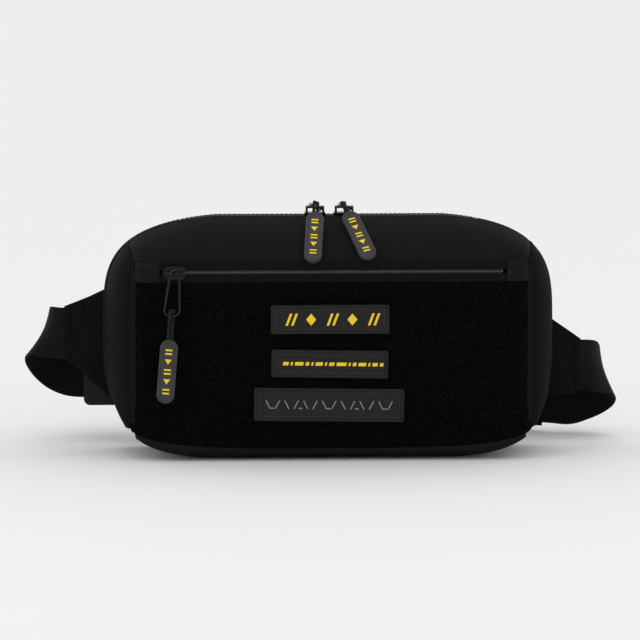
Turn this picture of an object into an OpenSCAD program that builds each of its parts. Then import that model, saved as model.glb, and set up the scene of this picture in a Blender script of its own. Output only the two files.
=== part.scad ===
// Waist pack with a zipped main compartment, a zipped front pocket, a hook-and-loop
// patch field and a webbing belt. Millimetres, +Z up, the front faces -Y.
// The origin is on the floor, under the middle of the bag's flat base.

/* [Bag body] */
// Width of the shell, without the piping
bag_w = 276; // [230:1:340]
// Height from the base to the crest of the yoke
bag_h = 148; // [125:1:180]
// Depth from the front panel to the back panel
bag_d = 66; // [55:1:85]
// Thickness of a sewn panel with its lining
panel_t = 2; // [1.4:0.1:3]
// Gap between two panels at a seam
seam_gap = 0.3; // [0.2:0.05:0.6]
// Radius of the piping round the back edge
piping_r = 1.8; // [1.2:0.1:2.4]
// Thickness of the padding on the back
padding_t = 5; // [3:0.5:7]

/* [Front] */
// Half of the front's width, between the side seams
seam_x = 121; // [100:1:124]
// Height of the top edge of the loop field
field_top = 110.6; // [98:0.2:112]
// Height of the band that holds the pocket zip
zip_band = 13; // [12:0.5:15]
// Length of the pocket zip
pocket_zip_l = 212; // [170:0.5:214]

/* [Zips and pullers] */
// Width of the gap that the coil fills
coil_w = 1.8; // [1.4:0.1:2.4]
// Length of the main zip
main_zip_l = 178; // [140:1:186]
// Length of a slider
slider_l = 13; // [11:0.5:15]
// Width of a slider
slider_w = 8; // [7:0.5:9]
// Diameter of the puller's wire
wire_d = 1.6; // [1.3:0.02:2]
// Length of the front puller, from its bar
front_pull_l = 27; // [24:1:34]
// Length of a main puller, from its bar
main_pull_l = 16.5; // [15:0.5:19]
// Length of a rubber tag
tag_l = 39.5; // [34:0.5:42]
// Width of a rubber tag
tag_w = 11; // [9:0.5:13]
// Thickness of a rubber tag
tag_t = 3.2; // [2.4:0.1:3.6]
// Diameter of the pull cord
pull_cord_d = 2; // [1.6:0.1:2.4]

/* [Patches] */
// Width of the top patch
patch_top_w = 72.6; // [60:0.2:84]
// Height of the top patch
patch_top_h = 17.8; // [15:0.2:19]
// Width of the middle patch
patch_mid_w = 71.6; // [60:0.2:84]
// Height of the middle patch
patch_mid_h = 17; // [14:0.2:19]
// Width of the bottom patch
patch_low_w = 92; // [80:0.2:110]
// Height of the bottom patch
patch_low_h = 20.4; // [17:0.2:21]
// Thickness of a patch's rubber face
patch_t = 1.8; // [1.5:0.1:2.6]
// Thickness of a patch's hook backing
hook_t = 1; // [0.8:0.1:1.6]

/* [Belt] */
// Width of the webbing
webbing_w = 32; // [25:0.2:40]
// Thickness of the webbing
webbing_t = 1.6; // [1.2:0.1:2]
// Thickness of a wing
wing_t = 3.4; // [2.6:0.1:4]
// Rim of the buckle beside the webbing
buckle_rim = 4.5; // [3.5:0.5:6]
// Thickness of the buckle
buckle_t = 10; // [9:0.5:12]

/* [Hidden] */

$fn = 32;
mid_z = bag_h / 2;
front_y = -bag_d / 2;
back_y = bag_d / 2;
front_half_w = seam_x - 7;             // where the front plane starts to turn
front_top_z = field_top + 10;          // where the yoke starts to turn back
front_low_z = 14;                      // where the front plane starts to turn under
low_seam_z = 7.4;                      // the front panel's bottom seam at the centre
corner_lift = 8;                       // how far that seam rises to the corners
crest_s = 0.45;                        // depth share of the crest, from the back
back_drop = 5;                         // how far the top falls from the crest to the back
flat_over = 1.5;                       // how far the outline overshoots the flat top and base
side_round = 3.5;
yoke_round = 1.6;
base_round = 6;
corner_back_top = 3.8;
corner_back_low = 3.6;
corner_front = 7;
steps = 13;                            // halvings of a depth search

// ---- the bag's surface: outlines that shrink from the back (s = 0) to the front (s = 1) ----
function ease(s, p) = pow(max(0, 1 - pow(s, p)), 1 / 2);
function half_w(s, d) = front_half_w + (bag_w / 2 - front_half_w) * ease(s, side_round) - d;
function top_z(s, d) = (s < crest_s
    ? bag_h - back_drop * pow(1 - s / crest_s, 2)
    : front_top_z + (bag_h - front_top_z)
        * pow(max(0, 1 - pow((s - crest_s) / (1 - crest_s), yoke_round)), 1 / yoke_round)) - d;
function low_z(s, d) = max(0, front_low_z * (1 - ease(s, base_round)) - 0.8) + d;
function corner(s, z) =
    (z > mid_z ? corner_back_top : corner_back_low)
    + (corner_front - (z > mid_z ? corner_back_top : corner_back_low)) * pow(s, 4);
function keep(x, s, d, z) =
    pow(max(0, 1 - pow(min(1, abs(x) / half_w(s, d)), corner(s, z))), 1 / corner(s, z));
function roof_z(x, s, d) =
    min(top_z(s, d), mid_z + (top_z(s, d) + flat_over - mid_z) * keep(x, s, d, bag_h));
function floor_z(x, s, d) =
    max(low_z(s, d), mid_z - (mid_z - low_z(s, d) + flat_over) * keep(x, s, d, 0));
function reach_z(s, d, z) = z > mid_z ? top_z(s, d) + flat_over - mid_z : mid_z - low_z(s, d) + flat_over;
function side_x(z, s, d) =
    half_w(s, d) * pow(max(0, 1 - pow(min(1, abs(z - mid_z) / reach_z(s, d, z)), corner(s, z))),
        1 / corner(s, z));
function inside(x, z, s, d) = abs(x) <= side_x(z, s, d) && z <= top_z(s, d) && z >= low_z(s, d);
function depth_at(x, z, d, lo = 0, hi = 1, n = 0) =
    inside(x, z, 1, d) ? 1 :
    n == steps ? (lo + hi) / 2 :
    inside(x, z, (lo + hi) / 2, d) ? depth_at(x, z, d, (lo + hi) / 2, hi, n + 1)
                                   : depth_at(x, z, d, lo, (lo + hi) / 2, n + 1);
function depth_y(s, d) = back_y - s * (bag_d - d);
function depth_s(y) = (back_y - y) / bag_d;
function low_seam(x) = low_seam_z + corner_lift * pow(abs(x) / seam_x, 4);
function lerp(a, b, t) = a + (b - a) * t;
function spread(n) = [for (i = [0:n]) -cos(180 * i / n)];   // -1 to 1, closer at the ends

// ---- closed solids from grids and rings of points ----
function flat_list(rows) = [for (row = rows) each row];
function grid_faces(r, c) =
    let (n = r * c)
    [
        for (i = [0:r - 2], j = [0:c - 2]) each
            let (a = i * c + j, b = a + 1, e = a + c, f = e + 1)
            [[a, b, f], [a, f, e], [n + a, n + f, n + b], [n + a, n + e, n + f]],
        for (j = [0:c - 2]) each
            let (a = j, b = j + 1, e = (r - 1) * c + j, f = e + 1)
            [[b, a, n + a], [b, n + a, n + b], [e, f, n + f], [e, n + f, n + e]],
        for (i = [0:r - 2]) each
            let (a = i * c, b = a + c, e = a + c - 1, f = e + c)
            [[a, b, n + b], [a, n + b, n + a], [f, e, n + e], [f, n + e, n + f]]
    ];
function turned(faces) = [for (f = faces) [for (k = [len(f) - 1:-1:0]) f[k]]];
module panel(outer, inner, flip = false) {
    faces = grid_faces(len(outer), len(outer[0]));
    polyhedron(concat(flat_list(outer), flat_list(inner)), flip ? turned(faces) : faces, convexity = 8);
}
function unit(v) = v / norm(v);
function tangent(p, i, closed) =
    let (n = len(p))
    closed ? unit(p[(i + 1) % n] - p[(i + n - 1) % n]) : unit(p[min(n - 1, i + 1)] - p[max(0, i - 1)]);
module swept(rings, closed = false) {
    n = len(rings);
    k = len(rings[0]);
    sides = [
        for (i = [0:(closed ? n - 1 : n - 2)], j = [0:k - 1]) each
            let (a = i * k + j, b = i * k + (j + 1) % k,
                 e = ((i + 1) % n) * k + j, f = ((i + 1) % n) * k + (j + 1) % k)
            [[a, b, f], [a, f, e]]
    ];
    caps = closed ? [] : [[for (j = [k - 1:-1:0]) j], [for (j = [0:k - 1]) (n - 1) * k + j]];
    polyhedron(flat_list(rings), turned(concat(sides, caps)), convexity = 8);
}
module wire(p, r, sides = 8, closed = false, up = [0, 1, 0]) {
    swept([
        for (i = [0:len(p) - 1])
            let (t = tangent(p, i, closed), u = unit(up - t * (up * t)), v = cross(t, u))
            [for (j = [0:sides - 1]) p[i] + r * (u * cos(360 * j / sides) + v * sin(360 * j / sides))]
    ], closed);
}
// a flat strap: each point is [x, y, z, tilt of its width from vertical in degrees]
function strap_at(q, i) =
    let (p = [for (e = q) [e[0], e[1], e[2]]], t = tangent(p, i, false),
         w0 = [sin(q[i][3]), 0, cos(q[i][3])], w = unit(w0 - t * (w0 * t)), n = cross(t, w))
    [for (c = [[-1, -1], [1, -1], [1, 1], [-1, 1]])
        p[i] + w * c[0] * webbing_w / 2 + n * c[1] * webbing_t / 2];
module strap(q) { swept([for (i = [0:len(q) - 1]) strap_at(q, i)]); }
function curve_point(a, b, c, d, t) =
    0.5 * (2 * b + (c - a) * t + (2 * a - 5 * b + 4 * c - d) * t * t
        + (3 * b - a - 3 * c + d) * t * t * t);
function smooth(q, n) = [
    for (i = [0:len(q) - 2], k = [0:n - 1])
        curve_point(q[max(0, i - 1)], q[i], q[i + 1], q[min(len(q) - 1, i + 2)], k / n),
    q[len(q) - 1]
];
module rounded_plate(w, h, t, r) {
    linear_extrude(t) {
        square([w - 2 * r, h], center = true);
        square([w, h - 2 * r], center = true);
        for (x = [-1, 1], y = [-1, 1]) translate([x * (w / 2 - r), y * (h / 2 - r)]) circle(r);
    }
}

// ---- panels ----
panel_top = field_top - seam_gap;
module front_loop_panel() {
    xs = [for (f = spread(22)) f * (seam_x - seam_gap)];
    fs = [for (f = spread(12)) (f + 1) / 2];
    function at(x, f, d) =
        let (z = lerp(low_seam(x) + seam_gap, panel_top, f)) [x, depth_y(depth_at(x, z, 0), 0) + d, z];
    color([0.04, 0.04, 0.04])
    panel([for (x = xs) [for (f = fs) at(x, f, 0)]], [for (x = xs) [for (f = fs) at(x, f, panel_t)]]);
}
main_zip_y = 9;                        // centre line of the main zip
tape_w = 6;                            // width of each tape beside the coil
zip_rear_s = depth_s(main_zip_y + coil_w / 2 + tape_w + seam_gap);
zip_front_s = depth_s(main_zip_y - coil_w / 2 - tape_w - seam_gap);
band_top = field_top + zip_band;
module roof(x_end, s_from, s_to, nx, ns) {
    xs = [for (f = spread(nx)) f * x_end];
    fs = [for (k = [0:ns]) k / ns];
    function at(x, s, d) = [x, depth_y(s, 0), roof_z(x, s, d)];
    panel([for (x = xs) [for (f = fs) at(x, lerp(s_from, s_to, f), 0)]],
          [for (x = xs) [for (f = fs) at(x, lerp(s_from, s_to, f), panel_t)]], true);
}
module front_yoke() {
    xs = [for (f = spread(20)) f * (seam_x - seam_gap)];
    fs = [for (k = [0:9]) sin(90 * k / 9)];
    function low_s(x) = depth_at(x, band_top + seam_gap, 0, crest_s - 0.1, 1);
    function at(x, f, d) =
        let (s = lerp(zip_front_s, low_s(x), f))
        [x, depth_y(s, 0) + (f > 0.5 ? d * (f - 0.5) * 1.6 : 0), roof_z(x, s, 0) - d * (1 - f * f * 0.7)];
    color([0.09, 0.09, 0.09])
    panel([for (x = xs) [for (f = fs) at(x, f, 0)]], [for (x = xs) [for (f = fs) at(x, f, panel_t)]], true);
}
module rear_top_panel() { color([0.09, 0.09, 0.09]) roof(seam_x - seam_gap, 0.03, zip_rear_s, 20, 4); }
module main_zip_end(side) {
    xs = [for (k = [0:5]) lerp(main_zip_l / 2 + seam_gap, seam_x - 2 * seam_gap, k / 5)];
    fs = [for (k = [0:4]) k / 4];
    function at(x, f, d) =
        let (s = lerp(zip_rear_s + seam_gap / bag_d, zip_front_s - seam_gap / bag_d, f))
        [side * x, depth_y(s, 0), roof_z(x, s, d)];
    color([0.08, 0.08, 0.08])
    panel([for (x = xs) [for (f = fs) at(x, f, 0)]], [for (x = xs) [for (f = fs) at(x, f, panel_t)]],
        side > 0);
}
side_low = floor_z(seam_x, 0, 0) + 3;
side_high = roof_z(seam_x, 0, 0) - 3;
module side_panel(side) {
    zs = [for (f = spread(20)) lerp(side_low, side_high, (f + 1) / 2)];
    fs = [for (k = [0:8]) sin(90 * k / 8)];
    function front_s(z) = depth_at(seam_x + seam_gap, z, 0);
    function at(z, f, d) =
        let (s = front_s(z) * f)
        [side * max(seam_x + seam_gap, side_x(z, s, 0) - d * (1 - f * f)), depth_y(s, 0) + d * f, z];
    color([0.13, 0.13, 0.13])
    panel([for (z = zs) [for (f = fs) at(z, f, 0)]], [for (z = zs) [for (f = fs) at(z, f, panel_t)]],
        side < 0);
}
module bottom_gusset() {
    xs = [for (f = spread(20)) f * (seam_x - seam_gap)];
    fs = [for (k = [0:9]) sin(90 * k / 9)];
    function front_s(x) = max(0.06, depth_at(x, low_seam(x), 0));
    function at(x, f, d) =
        let (s = front_s(x) * f)
        [x, depth_y(s, 0) + d * f,
            min(floor_z(x, s, 0) + d * (1 - pow(f, 3)), low_seam(x) - 0.05 + 0.05 * f)];
    color([0.1, 0.1, 0.1])
    panel([for (x = xs) [for (f = fs) at(x, f, 0)]], [for (x = xs) [for (f = fs) at(x, f, panel_t)]]);
}
// the back outline, shrunk by d, as points of a polygon in X and Z
function back_outline(d, n = 48) = [
    for (k = [0:n - 1])
        let (a = 360 * k / n, c = cos(a), s = sin(a),
             e = s > 0 ? corner_back_top : corner_back_low,
             b = s > 0 ? top_z(0, d) + flat_over - mid_z : mid_z - d + flat_over,
             x = sign(c) * pow(abs(c), 2 / e) * half_w(0, d),
             z = mid_z + sign(s) * pow(abs(s), 2 / e) * b)
        [x, min(top_z(0, d), max(d, z))]
];
module back_plate(d, y, t) {
    translate([0, y, 0]) rotate([90, 0, 0]) linear_extrude(t) polygon(back_outline(d));
}
inner_d = panel_t + seam_gap;
module back_panel() { color([0.08, 0.08, 0.08]) back_plate(inner_d, back_y, panel_t); }
module back_lining() { color([0.3, 0.3, 0.32]) back_plate(inner_d + 4, back_y - panel_t - seam_gap, 0.8); }
module back_padding() { color([0.06, 0.06, 0.06]) back_plate(12, back_y + seam_gap + padding_t, padding_t); }
module back_piping() {
    lift = piping_r + seam_gap;
    ring = [for (p = back_outline(0, 56)) [p[0], back_y + lift, max(p[1], piping_r)]];
    color([0.1, 0.1, 0.1]) wire(ring, piping_r, closed = true);
}
// a cloth pocket: a sheet with a gathered rim, deep along Z, its open side at z = 0
module cloth_tray(w, h, deep, r) {
    difference() {
        translate([0, 0, -deep]) rounded_plate(w, h, deep, r);
        translate([0, 0, 0.8 - deep]) rounded_plate(w - 2.4, h - 2.4, deep, r - 1.2);
    }
}
pocket_deep = 7;
module pocket_bag() {
    low = front_low_z + 3;
    color([0.25, 0.25, 0.27])
    translate([0, front_y + panel_t + seam_gap, (low + field_top) / 2]) rotate([90, 0, 0])
        cloth_tray(pocket_zip_l - 14, field_top - low, pocket_deep, 10);
}
module slip_pocket() {
    color([0.25, 0.25, 0.27])
    translate([0, back_y - panel_t - 2 * seam_gap - 0.8, 52]) rotate([-90, 0, 0])
        cloth_tray(200, 82, pocket_deep, 10);
}

// ---- zips ----
zip_x = 1;                             // middle of the pocket zip
front_zip_z = field_top + zip_band / 2;
front_tape_h = (zip_band - coil_w) / 2 - 2 * seam_gap;
module front_tape(side) {
    z = front_zip_z + side * (coil_w / 2 + seam_gap + front_tape_h / 2);
    color([0.11, 0.11, 0.11]) translate([zip_x, front_y + 1.2, z])
        cube([pocket_zip_l, 1.2, front_tape_h], center = true);
}
module front_coil() {
    color([0.5, 0.5, 0.5]) translate([zip_x, front_y + 1.2, front_zip_z])
        cube([pocket_zip_l - 4, 1.4, coil_w], center = true);
}
module front_zip_end(side) {
    x_in = zip_x * side + pocket_zip_l / 2 + seam_gap;
    xs = [for (k = [0:4]) lerp(x_in, seam_x - seam_gap, k / 4)];
    zs = [for (k = [0:4]) lerp(field_top + seam_gap, band_top - seam_gap, k / 4)];
    function at(x, z, d) = [side * x, depth_y(depth_at(x, z, 0), 0) + d, z];
    color([0.1, 0.1, 0.1])
    panel([for (x = xs) [for (z = zs) at(x, z, 0)]], [for (x = xs) [for (z = zs) at(x, z, panel_t)]],
        side < 0);
}
main_zip_z = bag_h - 0.6;
module main_tape(side) {
    color([0.11, 0.11, 0.11])
    translate([0, main_zip_y + side * (coil_w / 2 + seam_gap + (tape_w - seam_gap) / 2), main_zip_z - 0.6])
        cube([main_zip_l, tape_w - 2 * seam_gap, 1.2], center = true);
}
module main_coil() {
    color([0.2, 0.2, 0.2]) translate([0, main_zip_y, main_zip_z - 0.6])
        cube([main_zip_l - 4, coil_w, 1.4], center = true);
}

// ---- slider: its plate lies in XY and its bar runs along X, bar_h above the plate's foot ----
plate_t = 1.6;
bar_h = plate_t + 3.1;
bar_r = 0.8;
module slider() {
    color([0.06, 0.06, 0.06]) {
        rounded_plate(slider_l, slider_w, plate_t, 2.5);
        for (x = [-1, 1]) translate([x * (slider_l / 2 - 1.4) - 0.7, -1.5, 0]) cube([1.4, 3, bar_h]);
        translate([-slider_l / 2 + 0.7, 0, bar_h]) rotate([0, 90, 0])
            cylinder(r = bar_r, h = slider_l - 1.4);
    }
}
// ---- puller: a pear-shaped wire loop round the bar at the origin, hanging along -Z ----
wire_r = wire_d / 2;
wire_off = bar_r + wire_r + 0.35;      // from the bar's axis to the wire's axis
function pull_end(length) = length - wire_r;   // from the bar's axis to the low wire's axis
module puller(length) {
    top_w = 2.8;
    low_w = 4.6;
    sway = 0.3;
    low_z0 = low_w - wire_r - pull_end(length);
    function leg(side, t) =
        [side * lerp(top_w, low_w, t), side * lerp(wire_off, sway, t), lerp(0, low_z0, t)];
    loop = concat(
        [for (a = [-90:22.5:90]) [top_w * sin(a), wire_off * sin(a), wire_off * cos(a)]],
        [for (k = [1:5]) leg(1, k / 6)],
        [for (a = [0:-22.5:-180]) [low_w * cos(a), sway * cos(a), low_z0 + (low_w - wire_r) * sin(a)]],
        [for (k = [5:-1:1]) leg(-1, k / 6)]);
    color([0.03, 0.03, 0.03]) wire(loop, wire_r, closed = true, up = [0, 1, 0.01]);
}
// the cord: a knot inside the loop, and a strand on each side of the loop's low wire at the
// origin, which come together at the tag
knot_r = 1.15;
knot_up = wire_r + knot_r + 1.3;
knot_l = 3;
cord_gap = 0.55;                       // between a strand and the puller's wire
module pull_cord(length) {
    r = pull_cord_d / 2;
    off = wire_r + r + cord_gap;
    beside = r + 0.06;
    color([0.05, 0.05, 0.05]) {
        for (side = [-1, 1])
            wire([[side * beside, side * 0.6, knot_up + 0.2], [side * beside, side * off, knot_up - 1.2],
                [side * beside, side * off, 0.6],
                [side * beside, side * off * 0.9, -0.8], [side * beside, side * off * 0.45, -2.6],
                [side * beside, 0, -4], [side * beside, 0, -length]], r, up = [0, 1, 0.01]);
        translate([-knot_l / 2, 0, knot_up]) rotate([0, 90, 0]) cylinder(r = knot_r, h = knot_l);
    }
}
module tag(length) {
    color([0.2, 0.2, 0.2]) translate([0, tag_t / 2, -length - tag_l / 2]) rotate([90, 0, 0])
        rounded_plate(tag_w, tag_l, tag_t, tag_w / 2 - 0.01);
}

// ---- the front pull ----
front_pull_x = zip_x - pocket_zip_l / 2 + slider_l / 2 + 2.5;
front_bar_y = front_y - seam_gap - bar_h;
front_strand = 14;                     // cord between the puller and the tag
front_tilt = 4.6;                        // how far the pull leans, bottom towards -X
front_out = 3.5;                       // how far the puller leans out from the panel, in degrees
module front_slider() {
    translate([front_pull_x, front_y - seam_gap, front_zip_z]) rotate([90, 0, 0]) slider();
}
module at_front_bar() {
    translate([front_pull_x, front_bar_y, front_zip_z]) rotate([-front_out, front_tilt, 0]) children();
}
module front_puller() { at_front_bar() puller(front_pull_l); }
module at_front_ring() {
    at_front_bar() translate([0, 0, -pull_end(front_pull_l)]) rotate([front_out, 0, 0]) children();
}
module front_cord() { at_front_ring() pull_cord(front_strand); }
module front_tag() { at_front_ring() tag(front_strand + seam_gap); }

// ---- the main pulls: the pullers lie forwards over the crest, the tags down the yoke ----
main_slider_x = slider_l / 2 + 2.5;
main_bar_z = main_zip_z + seam_gap + bar_h;
pull_rise = 6;                         // how far a main puller rises to the front, in degrees
yoke_fall = bag_h - front_top_z + 6.3; // drop of the yoke, with the tags' stand-off
tag_slope = 90 - atan2(yoke_fall, (1 - crest_s) * bag_d);   // slope of the tags on the yoke
main_strand = 4.6;
function main_lean(side) = side < 0 ? -4 : 19;
module main_slider(side) {
    translate([side * main_slider_x, main_zip_y, main_zip_z + seam_gap]) slider();
}
module at_main_bar(side) { translate([side * main_slider_x, main_zip_y, main_bar_z]) children(); }
module main_puller(side) {
    at_main_bar(side) rotate([-90 - pull_rise, 0, 0]) puller(main_pull_l);
}
module at_main_ring(side) {
    at_main_bar(side)
        translate([0, -pull_end(main_pull_l) * cos(pull_rise), pull_end(main_pull_l) * sin(pull_rise)])
        rotate([-tag_slope, 0, 0]) rotate([0, -main_lean(side), 0]) children();
}
module main_cord(side) { at_main_ring(side) pull_cord(main_strand); }
module main_tag(side) { at_main_ring(side) tag(main_strand + seam_gap); }

// ---- patches: [centre x, centre z, lean in degrees] ----
patch_gap = 0.3;
patch_top_at = [-1.2, field_top - 22.4, 0];
patch_mid_at = [-1.4, field_top - 49.9, 1];
patch_low_at = [-1.8, field_top - 75.2, 0.8];
module at_patch(at, y) { translate([at[0], y, at[1]]) rotate([0, at[2], 0]) rotate([90, 0, 0]) children(); }
module patch_hook(at, w, h) {
    color([0.05, 0.05, 0.05]) at_patch(at, front_y - patch_gap) rounded_plate(w - 2, h - 2, hook_t, 1);
}
module patch_face(at, w, h) {
    color([0.16, 0.16, 0.16]) at_patch(at, front_y - patch_gap - hook_t) difference() {
        rounded_plate(w, h, patch_t, 1.4);
        translate([0, 0, patch_t - 0.5]) rounded_plate(w - 3.2, h - 3.2, 1, 0.8);
    }
}

// ---- wings and belt ----
wing_root_x = bag_w / 2 - 7;
wing_y = back_y + seam_gap + wing_t / 2 + 2 * piping_r + 0.6;
// rows of a wing, from its root: [outwards, backwards, low z, high z]
wing_left_rows = [[0, 0, 27.6, 101.6], [9, 0.2, 33.6, 97.6], [17, 1.4, 40.6, 93.6],
    [25, 3.8, 48.6, 90.1], [33, 6.9, 53.6, 86.6]];
wing_right_rows = [[0, 0, 28.6, 84.6], [7, 0.2, 29.1, 79.6], [14, 1.4, 29.8, 74.6],
    [21, 3.8, 30.6, 69.6], [27.5, 6.9, 31.6, 64.6]];
module wing(side, rows) {
    fs = [for (k = [0:4]) k / 4];
    function at(r, f, d) = [side * (wing_root_x + r[0]), wing_y + r[1] + d, lerp(r[2], r[3], f)];
    color([0.08, 0.08, 0.08])
    panel([for (r = rows) [for (f = fs) at(r, f, -wing_t / 2)]],
          [for (r = rows) [for (f = fs) at(r, f, wing_t / 2)]], side < 0);
}
belt_back = 55;                        // from the back panel to the middle of the belt
belt_y = back_y + belt_back;
tail_y = belt_y + 3;
buckle_x = 24 - bag_w / 2;             // mouth of the female half
buckle_z = 39.4;
buckle_h = webbing_w + 2 * buckle_rim;
turn_x = bag_w / 2 + 16;               // where the right webbing starts its straight run
ladder_x = buckle_x + 29.4;            // where that run meets the buckle's last bar
turn_z = 20.5;
ladder_z = buckle_z - 0.4;
belt_tilt = atan2(ladder_z - turn_z, turn_x - ladder_x);
function belt_z(x) = lerp(turn_z, ladder_z, (turn_x - x) / (turn_x - ladder_x));
// turns of the webbing: [beyond the shell's side, behind the back panel, z, tilt]
left_turn = [[27.2, 13.8, 69.6, 0], [32, 16.5, 69.6, 4], [36, 20.5, 69.4, 14], [39.2, 27, 67.9, 26],
    [40.2, 35, 63.6, 32], [39, 42.5, 57.4, 31], [35, 49, 50.1, 24], [29, 53.2, 43.8, 13],
    [22.5, 54.8, 40.4, 4], [17, belt_back, 39.5, 0], [10.6, belt_back, 39.4, 0]];
right_turn = [[22.2, 14.2, 47.9, 0], [27, 17, 47.2, -6], [32, 22, 45.1, -14], [36, 29, 41.6, -19],
    [37, 37, 36.8, -20], [35, 45, 31.4, -17], [30, 51.5, 26.6, -11], [23, 54.6, 22.9, -6]];
function turned_out(side, rows) =
    [for (r = rows) [side * (bag_w / 2 + r[0]), back_y + r[1], r[2], r[3]]];
function straight_run(xs, y) = [for (x = xs) [x, y, belt_z(x), -belt_tilt]];
left_route = turned_out(-1, left_turn);
right_route = concat(turned_out(1, right_turn), straight_run([turn_x, 100, 0, ladder_x], belt_y));
tail_route = straight_run([ladder_x + 1, 0, 100, turn_x - 12], tail_y);
module webbing_left() { color([0.07, 0.07, 0.07]) strap(smooth(left_route, 3)); }
module webbing_right() { color([0.07, 0.07, 0.07]) strap(smooth(right_route, 3)); }
module webbing_tail() { color([0.07, 0.07, 0.07]) strap(smooth(tail_route, 2)); }
module strap_keeper() {
    hole_w = webbing_w + 1.2;
    hole_t = 2 * webbing_t + 2.4;
    rim = 2.4;
    x = turn_x - 20;
    color([0.05, 0.05, 0.05]) translate([x, (belt_y + tail_y) / 2, belt_z(x)]) rotate([0, belt_tilt, 0])
        difference() {
            cube([9, hole_t + rim, hole_w + rim], center = true);
            cube([10, hole_t, hole_w], center = true);
        }
}
female_l = 38;
male_l = 31;
cavity_l = 27;
cavity_t = buckle_t - 3.2;
latch_z = buckle_h / 2 - 7.5;          // height of a prong's middle above the buckle's
pad_z = buckle_h / 2 - 3.5;            // height of its finger pad
prong_l = 22;                          // how far a prong reaches into the female half
// a block from x0 to x1, centred on the belt in Y and at height z above the buckle's middle
module belt_block(x0, x1, t, h, z = 0) {
    translate([x0, belt_y - t / 2, buckle_z + z - h / 2]) cube([x1 - x0, t, h]);
}
module buckle_box(x0, x1, h, t, r) {
    translate([(x0 + x1) / 2, belt_y + t / 2, buckle_z]) rotate([90, 0, 0]) rounded_plate(x1 - x0, h, t, r);
}
module buckle_female() {
    x0 = buckle_x - female_l;
    slot_h = webbing_w + 1.4;
    color([0.04, 0.04, 0.04]) difference() {
        buckle_box(x0, buckle_x, buckle_h, buckle_t, 4);
        belt_block(buckle_x - cavity_l, buckle_x + 1, cavity_t, buckle_h - 4.8);
        for (s = [-1, 1]) belt_block(buckle_x - 17, buckle_x - 6, cavity_t, 10, s * buckle_h / 2);
        belt_block(x0 - 1, x0 + 4, 3.2, slot_h);
    }
}
module buckle_male() {
    x1 = buckle_x + male_l;
    slot_h = webbing_w + 2;
    color([0.04, 0.04, 0.04]) {
        difference() {
            buckle_box(buckle_x + 0.4, x1, buckle_h, buckle_t - 1, 3);
            for (x = [buckle_x + 13, buckle_x + 22]) belt_block(x, x + 5.6, buckle_t + 2, slot_h);
            translate([x1 - 3.6, belt_y - 1.4, buckle_z - slot_h / 2]) cube([5, 6, slot_h]);
            for (s = [-1, 1]) belt_block(buckle_x - 1, buckle_x + 5, 6, 7.2, s * latch_z);
        }
        belt_block(buckle_x - 20, buckle_x + 1, 4, 5);
    }
}
module prong(side) {
    color([0.05, 0.05, 0.05]) {
        belt_block(buckle_x - prong_l, buckle_x + 3.4, 4.4, 4.8, side * latch_z);
        belt_block(buckle_x - 15.5, buckle_x - 7.5, 4.4, 4.8, side * pad_z);
    }
}

front_loop_panel();
front_yoke();
side_panel(-1);  // side_panel_left
side_panel(1);  // side_panel_right
bottom_gusset();
rear_top_panel();
back_panel();
back_padding();
back_piping();
back_lining();
pocket_bag();
slip_pocket();
front_tape(-1);  // front_tape_lower
front_tape(1);  // front_tape_upper
front_coil();
front_zip_end(-1);  // front_zip_end_left
front_zip_end(1);  // front_zip_end_right
main_tape(-1);  // main_tape_front
main_tape(1);  // main_tape_rear
main_coil();
main_zip_end(-1);  // main_zip_end_left
main_zip_end(1);  // main_zip_end_right
front_slider();
front_puller();
front_cord();
front_tag();
main_slider(-1);  // main_slider_left
main_puller(-1);  // main_puller_left
main_cord(-1);  // main_cord_left
main_tag(-1);  // main_tag_left
main_slider(1);  // main_slider_right
main_puller(1);  // main_puller_right
main_cord(1);  // main_cord_right
main_tag(1);  // main_tag_right
patch_face(patch_top_at, patch_top_w, patch_top_h);  // patch_top_face
patch_hook(patch_top_at, patch_top_w, patch_top_h);  // patch_top_hook
patch_face(patch_mid_at, patch_mid_w, patch_mid_h);  // patch_mid_face
patch_hook(patch_mid_at, patch_mid_w, patch_mid_h);  // patch_mid_hook
patch_face(patch_low_at, patch_low_w, patch_low_h);  // patch_low_face
patch_hook(patch_low_at, patch_low_w, patch_low_h);  // patch_low_hook
wing(-1, wing_left_rows);  // wing_left
wing(1, wing_right_rows);  // wing_right
webbing_left();
webbing_right();
webbing_tail();
strap_keeper();
buckle_female();
buckle_male();
prong(1);  // prong_upper
prong(-1);  // prong_lower
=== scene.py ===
import math
import bpy
import bmesh
import numpy as np
from mathutils import Matrix, Vector, noise


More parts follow.
